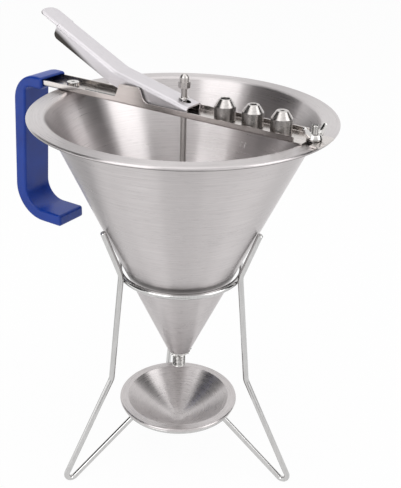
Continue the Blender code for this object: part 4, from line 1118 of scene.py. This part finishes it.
def dress_lever():
    maker = bmesh.new()
    rings = lever_rings(maker)
    skin(maker, rings, capped=False)
    close_section(maker, rings[0])
    close_section(maker, rings[-1])
    place = (PIVOT_X, 0, PIVOT_HEIGHT)
    lever = solid("lever_body", maker, place)
    floor = BAR_FLOOR + GAP - PIVOT_HEIGHT
    reach = LEVER_REAR_LENGTH + OVERRUN
    hole = circle(PIVOT_RADIUS + RUNNING_CLEARANCE / 2)
    for outline in (box(-reach, reach, floor - LEVER_DEPTH * 2, floor), hole):
        carve(lever, slab(outline, -LEVER_WIDTH, LEVER_WIDTH), place)
    side = ROD_SLOT_WIDTH / 2
    run = ROD_SLOT_LENGTH / 2 - side
    middle = ROD_SLOT_SHIFT - PIVOT_X
    slot = arc((middle + run, 0), side, -90, 90)
    slot += arc((middle - run, 0), side, 90, 270)
    carve(lever, slab(slot, -LEVER_DEPTH, LEVER_DEPTH, "XY"), place)
    # Painted shade inside the lever and a painted dark reflection low on its skirts
    mark_painted_shade(lever, lever_painted_shade_share())
    finish_piece(lever, LEVER_STEEL, "lever", "lever", True)


def dress_pin():
    reach = BAR_WIDTH / 2 - BAR_SHEET - GAP
    pin = solid("pin", slab(circle(PIVOT_RADIUS), -reach, reach), (PIVOT_X, 0, PIVOT_HEIGHT))
    soften(pin, GAP)
    finish_piece(pin, BRIGHT_STEEL, "funnel", "pivot_pin")


def spring_path():
    """Return spring about the pin: along the bar's floor, round the pin, then up under the lever."""
    radius = SPRING_COIL_RADIUS
    floor = BAR_FLOOR + GAP + SPRING_WIRE_RADIUS - PIVOT_HEIGHT
    bend = Vector((-SPRING_FLOOR_BEND, floor))
    start_angle = atan2(bend.y, bend.x) - acos(radius / bend.length)
    inward = Vector((-LEVER_AHEAD.y, LEVER_AHEAD.x))
    lift = LEVER_KNEE + LEVER_AHEAD * (SPRING_LIFT_REACH + LEVER_KNEE.x)
    lift += inward * (LEVER_SHEET + GAP * 2 + SPRING_WIRE_RADIUS)
    end_angle = atan2(lift.y, lift.x) + acos(radius / lift.length)
    turns = (start_angle - end_angle) / tau % 1 + SPRING_TURNS
    steps = round(turns * SPRING_POINTS_PER_TURN)
    width = turns * SPRING_PITCH
    coil = []
    for k in range(steps + 1):
        x, z = polar(radius, start_angle - turns * tau * k / steps)
        coil.append((x, -width / 2 + width * k / steps, z))
    first, last = coil[0], coil[-1]
    floor_run = [(-SPRING_FLOOR_REACH, floor), (-SPRING_FLOOR_BEND, floor), (first[0], first[2])]
    floor_run = round_corners(floor_run, (0, radius, 0))
    return [(x, first[1], z) for x, z in floor_run[:-1]] + coil + [(lift.x, last[1], lift.y)]


def dress_spring():
    path = spring_path()
    maker = wire(path, SPRING_WIRE_RADIUS, SPRING_WIRE_SIDES, chamfer=GAP / 2)
    spring = solid("spring", maker, (PIVOT_X, 0, PIVOT_HEIGHT))
    ends = [(PIVOT_X, spot[1], PIVOT_HEIGHT) for spot in (path[0], path[-1])]
    finish_piece(spring, SPRING_STEEL, ("funnel", "lever", *ends), "return_spring")


# Handle

def dress_handle():
    top = RIM_HEIGHT + HANDLE_TOP_ABOVE_RIM
    bottom = top - HANDLE_HEIGHT
    lean = atan(HANDLE_LEAN / HANDLE_HEIGHT)
    back = -HANDLE_REACH - HANDLE_FOOT_CURVE * (tan(lean) + 1 / cos(lean) - 1)
    shoulder = back + HANDLE_LEAN
    cap_low = top - HANDLE_CAP_THICKNESS
    tip_top = bottom + HANDLE_TIP_THICKNESS
    inner_curve = HANDLE_FOOT_CURVE - HANDLE_GRIP_THICKNESS
    points = [(HANDLE_FRONT_X, top - HANDLE_CROWN), (shoulder, top), (back, bottom), (HANDLE_TIP_X, bottom)]
    radii = [HANDLE_CORNER, HANDLE_TOP_CURVE, HANDLE_FOOT_CURVE, HANDLE_CORNER]
    points += [(HANDLE_TIP_X, tip_top), (back + HANDLE_GRIP_THICKNESS, tip_top)]
    points += [(shoulder + HANDLE_GRIP_THICKNESS, cap_low), (HANDLE_FRONT_X, cap_low)]
    radii += [HANDLE_CORNER, inner_curve, HANDLE_CORNER * 2, HANDLE_CORNER]
    level = HANDLE_WIDTH / 2 - HANDLE_EDGE
    layers = [(drawn_in(points, radii, 0), level - SUPPORT)]
    for a in quarter(HANDLE_EDGE_STEPS):
        outline = drawn_in(points, radii, HANDLE_EDGE * (1 - cos(a)))
        layers.append((outline, level + HANDLE_EDGE * sin(a)))
    layers.append((drawn_in(points, radii, HANDLE_EDGE + SUPPORT), HANDLE_WIDTH / 2))
    layers = [(outline, -y) for outline, y in reversed(layers)] + layers
    handle = solid("grip", stack(layers))
    side = BAR_WIDTH / 2 + GAP
    back_wall = HANDLE_FRONT_X - POCKET_DEPTH - GAP
    ceiling = RIM_HEIGHT + BAR_WALL_HEIGHT + GAP * 3
    carve(handle, slab(box(back_wall, HANDLE_FRONT_X + OVERRUN, RIM_HEIGHT, ceiling), -side, side))
    finish_piece(handle, BLUE_PLASTIC, "funnel", "handle")


# Spare nozzles and their pegs

def dress_nozzles():
    socket = THREAD_RADIUS + GAP
    peg_radius = THREAD_RADIUS - GAP
    edge = NOZZLE_EDGE
    tip = NOZZLE_TOP_RADIUS
    for k, (name, bore) in enumerate(NOZZLE_BORES):
        place = (NOZZLE_FIRST_X + k * NOZZLE_SPACING, 0, BAR_FLOOR + GAP)
        points = [(socket, 0), (NOZZLE_RADIUS, 0), (NOZZLE_RADIUS, NOZZLE_BASE_HEIGHT), (tip, NOZZLE_HEIGHT)]
        points += [(bore, NOZZLE_HEIGHT), (bore, NOZZLE_HEIGHT - tip), (socket, NOZZLE_SOCKET_DEPTH)]
        outline = round_corners(points, (0, edge, edge / 2, edge, edge / 2, 0, 0), NOZZLE_EDGE_STEPS)
        nozzle = solid("spare_nozzle_" + name, lathe(outline), place)
        # Painted shade on the nozzle's upright sides
        mark_painted_shade(nozzle, lambda place, face: NOZZLE_PAINTED_SHADE * (abs(face.normal.z) < NOZZLE_UPRIGHT))
        finish_piece(nozzle, TURNED_STEEL, "nozzle_" + name, "nozzle_" + name)
        outline = [(0, 0)] + threaded(peg_radius, 0, PEG_HEIGHT, THREAD_PITCH) + [(0, PEG_HEIGHT)]
        shape = helix(0, PEG_HEIGHT, THREAD_PITCH, THREAD_DEPTH)
        peg = solid("spare_peg_" + name, lathe(outline, shape=shape), place)
        # Painted shade in the peg thread's grooves
        mark_painted_shade(peg, groove_painted_shade(peg_radius, THREAD_DEPTH))
        finish_piece(peg, TURNED_STEEL, "funnel", "nozzle_peg_" + name)


# Drip bowl and stand

def dress_bowl():
    bead = (BOWL_RADIUS - BOWL_BEAD_RADIUS, BOWL_HEIGHT - BOWL_BEAD_RADIUS)
    edge = arc(bead, BOWL_BEAD_RADIUS, 90, -150)
    floor = BOWL_HEIGHT - BOWL_DEPTH
    under = BOWL_HEIGHT - BOWL_SHEET
    width = BOWL_MOUTH_RADIUS - BOWL_FOOT_RADIUS
    inner = []
    outer = []
    for k in range(BOWL_CURVE_STEPS + 1):
        share = k / BOWL_CURVE_STEPS
        radius = BOWL_FOOT_RADIUS + width * share
        height = floor + BOWL_DEPTH * share**BOWL_CURVE_POWER
        lean = atan(BOWL_CURVE_POWER * BOWL_DEPTH * share ** (BOWL_CURVE_POWER - 1) / width)
        inner.append((radius, height))
        if height - BOWL_SHEET * cos(lean) < under - BOWL_SHEET / 2:
            outer.append((radius + BOWL_SHEET * sin(lean), height - BOWL_SHEET * cos(lean)))
    mouth = round_corners([inner[-2], inner[-1], edge[0]], (0, BOWL_SHEET, 0))
    outline = [(0, floor)] + inner[:-2] + mouth[:-1] + edge + [(BOWL_MOUTH_RADIUS + BOWL_SHEET * 1.5, under)]
    outline += outer[::-1] + [(0, floor - BOWL_SHEET)]
    bowl = solid("bowl_body", lathe(outline, BOWL_STEPS))
    finish_piece(bowl, BOWL_STEEL, "bowl", "drip_bowl")


def bowl_ring_height():
    aside = BOWL_RADIUS - BOWL_BEAD_RADIUS - BOWL_RING_RADIUS
    touch = BOWL_BEAD_RADIUS + GAP + BOWL_RING_WIRE_RADIUS
    return BOWL_HEIGHT - BOWL_BEAD_RADIUS - sqrt(touch**2 - aside**2)


def leg_path():
    """Path of one leg's wire in its own plane, as (distance from the axis, height)."""
    top_radius = cone_radius(LEG_TOP_HEIGHT) + (LEG_WIRE_RADIUS + GAP) / cos(CONE_ANGLE)
    knee = (LEG_KNEE_RADIUS, LEG_KNEE_HEIGHT)
    foot = Vector((LEG_FOOT_REACH, LEG_FOOT_BEND + LEG_WIRE_RADIUS - FOOT_FLAT_DEPTH))
    down = Vector(knee) - foot
    first = atan2(down.y, down.x) - acos(LEG_FOOT_BEND / down.length)
    ring = Vector((BOWL_RING_RADIUS, bowl_ring_height()))
    under = BOWL_RING_WIRE_RADIUS + GAP + LEG_WIRE_RADIUS
    back = ring - foot
    last = atan2(back.y, back.x) + acos((LEG_FOOT_BEND - under) / back.length)
    turn = Vector(polar(1, last))
    inner = ring + turn * under + Vector((turn.y, -turn.x)) * LEG_INNER_OVERRUN
    bend = arc(foot, LEG_FOOT_BEND, degrees(first), degrees(last - tau), BEND_STEPS * 3)
    corners = [(top_radius, LEG_TOP_HEIGHT), (LEG_WAIST_RADIUS, LEG_WAIST_HEIGHT), knee, bend[0]]
    return round_corners(corners, (0, LEG_BEND_RADIUS, LEG_BEND_RADIUS, 0)) + bend[1:] + [tuple(inner)]


def dress_stand():
    share = (LEG_WAIST_HEIGHT - WAIST_RING_HEIGHT) / (LEG_WAIST_HEIGHT - LEG_KNEE_HEIGHT)
    leg_radius = LEG_WAIST_RADIUS + (LEG_KNEE_RADIUS - LEG_WAIST_RADIUS) * share
    waist_radius = leg_radius - LEG_WIRE_RADIUS - RING_WIRE_RADIUS - GAP
    for name, node, radius, height, wire_radius in (
        ("waist_wire", "waist_ring", waist_radius, WAIST_RING_HEIGHT, RING_WIRE_RADIUS),
        ("bowl_wire", "bowl_ring", BOWL_RING_RADIUS, bowl_ring_height(), BOWL_RING_WIRE_RADIUS),
    ):
        points = [(x, y, height) for x, y in circle(radius, RING_STEPS)]
        ring = solid(name, wire(points, wire_radius, closed=True))
        finish_piece(ring, WIRE_STEEL, "stand", node)
    points = [(r, 0, z) for r, z in leg_path()]
    low = LEG_WIRE_RADIUS * 2
    for k, turn in enumerate(LEG_TURNS):
        maker = wire(points, LEG_WIRE_RADIUS, chamfer=WIRE_END_CHAMFER)
        leg = solid(f"leg_wire_{k + 1}", maker, turn=turn)
        carve(leg, slab(box(0, LEG_FOOT_REACH * 2, -low, 0), -low, low), turn=turn)
        finish_piece(leg, WIRE_STEEL, "stand", f"leg_{k + 1}")


# Studio

def add_camera():
    data = bpy.data.cameras.new("camera")
    data.sensor_width = 36
    data.lens = CAMERA_LENS
    data.clip_start = 0.01
    data.clip_end = 20
    camera = new_object("camera", data)
    rows = [(*CAMERA_RIGHT, 0), (*CAMERA_UP, 0), (*CAMERA_BACK, 0), (*CAMERA_PLACE, 1)]
    camera.matrix_world = Matrix(rows).transposed()
    bpy.context.scene.camera = camera


def seen_white(tree, shader, white, amount, output):
    """Camera, glossy and transmission rays see an amount of plain white over a shader's output."""
    path = tree.nodes.new("ShaderNodeLightPath").outputs
    seen = maths(tree, "ADD", path["Is Camera Ray"], path["Is Glossy Ray"])
    seen = maths(tree, "ADD", seen, path["Is Transmission Ray"])
    share = clamped(maths(tree, "MULTIPLY", seen, amount))
    mix = add_node(tree, "ShaderNodeMixShader", share, shader, white)
    feed(tree, tree.nodes[output], Surface=mix.outputs["Shader"])


def add_sheet(name, low, high, grey):
    """A matt grey sheet of the studio between two rows of points."""
    material, tree, shader = new_material(name)
    feed(tree, shader, Base_Color=(grey, grey, grey, 1), Roughness=0.9, Specular_IOR_Level=0.0)
    maker = bmesh.new()
    low, high = [[maker.verts.new(p) for p in row] for row in (low, high)]
    for k in range(len(low) - 1):
        maker.faces.new((low[k], low[k + 1], high[k + 1], high[k]))
    sheet = new_object(name, new_mesh(name, maker))
    sheet.data.materials.append(material)
    return sheet, tree, shader


def add_floor():
    near, far = [[(x, y, 0) for x in (-FLOOR_REACH, FLOOR_REACH)] for y in (-FLOOR_REACH, FLOOR_REACH)]
    tree, shader = add_sheet("floor", near, far, FLOOR_GREY)[1:]
    white = add_node(tree, "ShaderNodeEmission", Color=(1, 1, 1, 1))
    seen_white(tree, shader.outputs["BSDF"], white.outputs["Emission"], FLOOR_WHITE, "Material Output")


def add_world():
    world = bpy.data.worlds.new("studio")
    bpy.context.scene.world = world
    world.use_nodes = True
    tree = world.node_tree
    light = tree.nodes["Background"]
    feed(tree, light, Color=(0.97, 0.98, 1.0, 1), Strength=0.38)
    white = add_node(tree, "ShaderNodeBackground", Color=(1, 1, 1, 1), Strength=1.0)
    seen_white(tree, light.outputs["Background"], white.outputs["Background"], 1.0, "World Output")


def add_lamp(name, place, target, size, power, glossy):
    data = bpy.data.lights.new(name, "AREA")
    data.shape = "RECTANGLE"
    data.size, data.size_y = size
    data.energy = power
    lamp = new_object(name, data)
    lamp.visible_camera = False
    lamp.visible_glossy = glossy
    lamp.location = place
    lamp.rotation_mode = "QUATERNION"
    lamp.rotation_quaternion = (Vector(target) - Vector(place)).to_track_quat("-Z", "Y")


def add_board(name, near, far, low, high, first, last, grey):
    """A board that only reflections see, bent round the axis and leaning outwards if far is beyond near."""
    steps = round((last - first) / BOARD_STEP)
    rows = []
    for radius, height in ((near, low), (far, high)):
        rows.append([(AXIS_X + x, y, height) for x, y in arc((0, 0), radius, first, last, steps)])
    board = add_sheet(name, *rows, grey)[0]
    board.visible_camera = False
    board.visible_diffuse = False
    board.visible_shadow = False


for dress in (
    dress_funnel, dress_spout, dress_level_marks, dress_rod, dress_plug, dress_clip, dress_cap_nut,
    dress_rim_screw, dress_rim_nut, dress_stud, dress_wing_nut, dress_bar, dress_lever, dress_pin,
    dress_spring, dress_handle, dress_nozzles, dress_bowl, dress_stand, add_camera, add_floor, add_world,
):
    dress()
for lamp in LAMPS:
    add_lamp(*lamp)
for board in BOARDS:
    add_board(*board)
bpy.context.scene.view_settings.view_transform = "Standard"

bpy.context.view_layer.update()
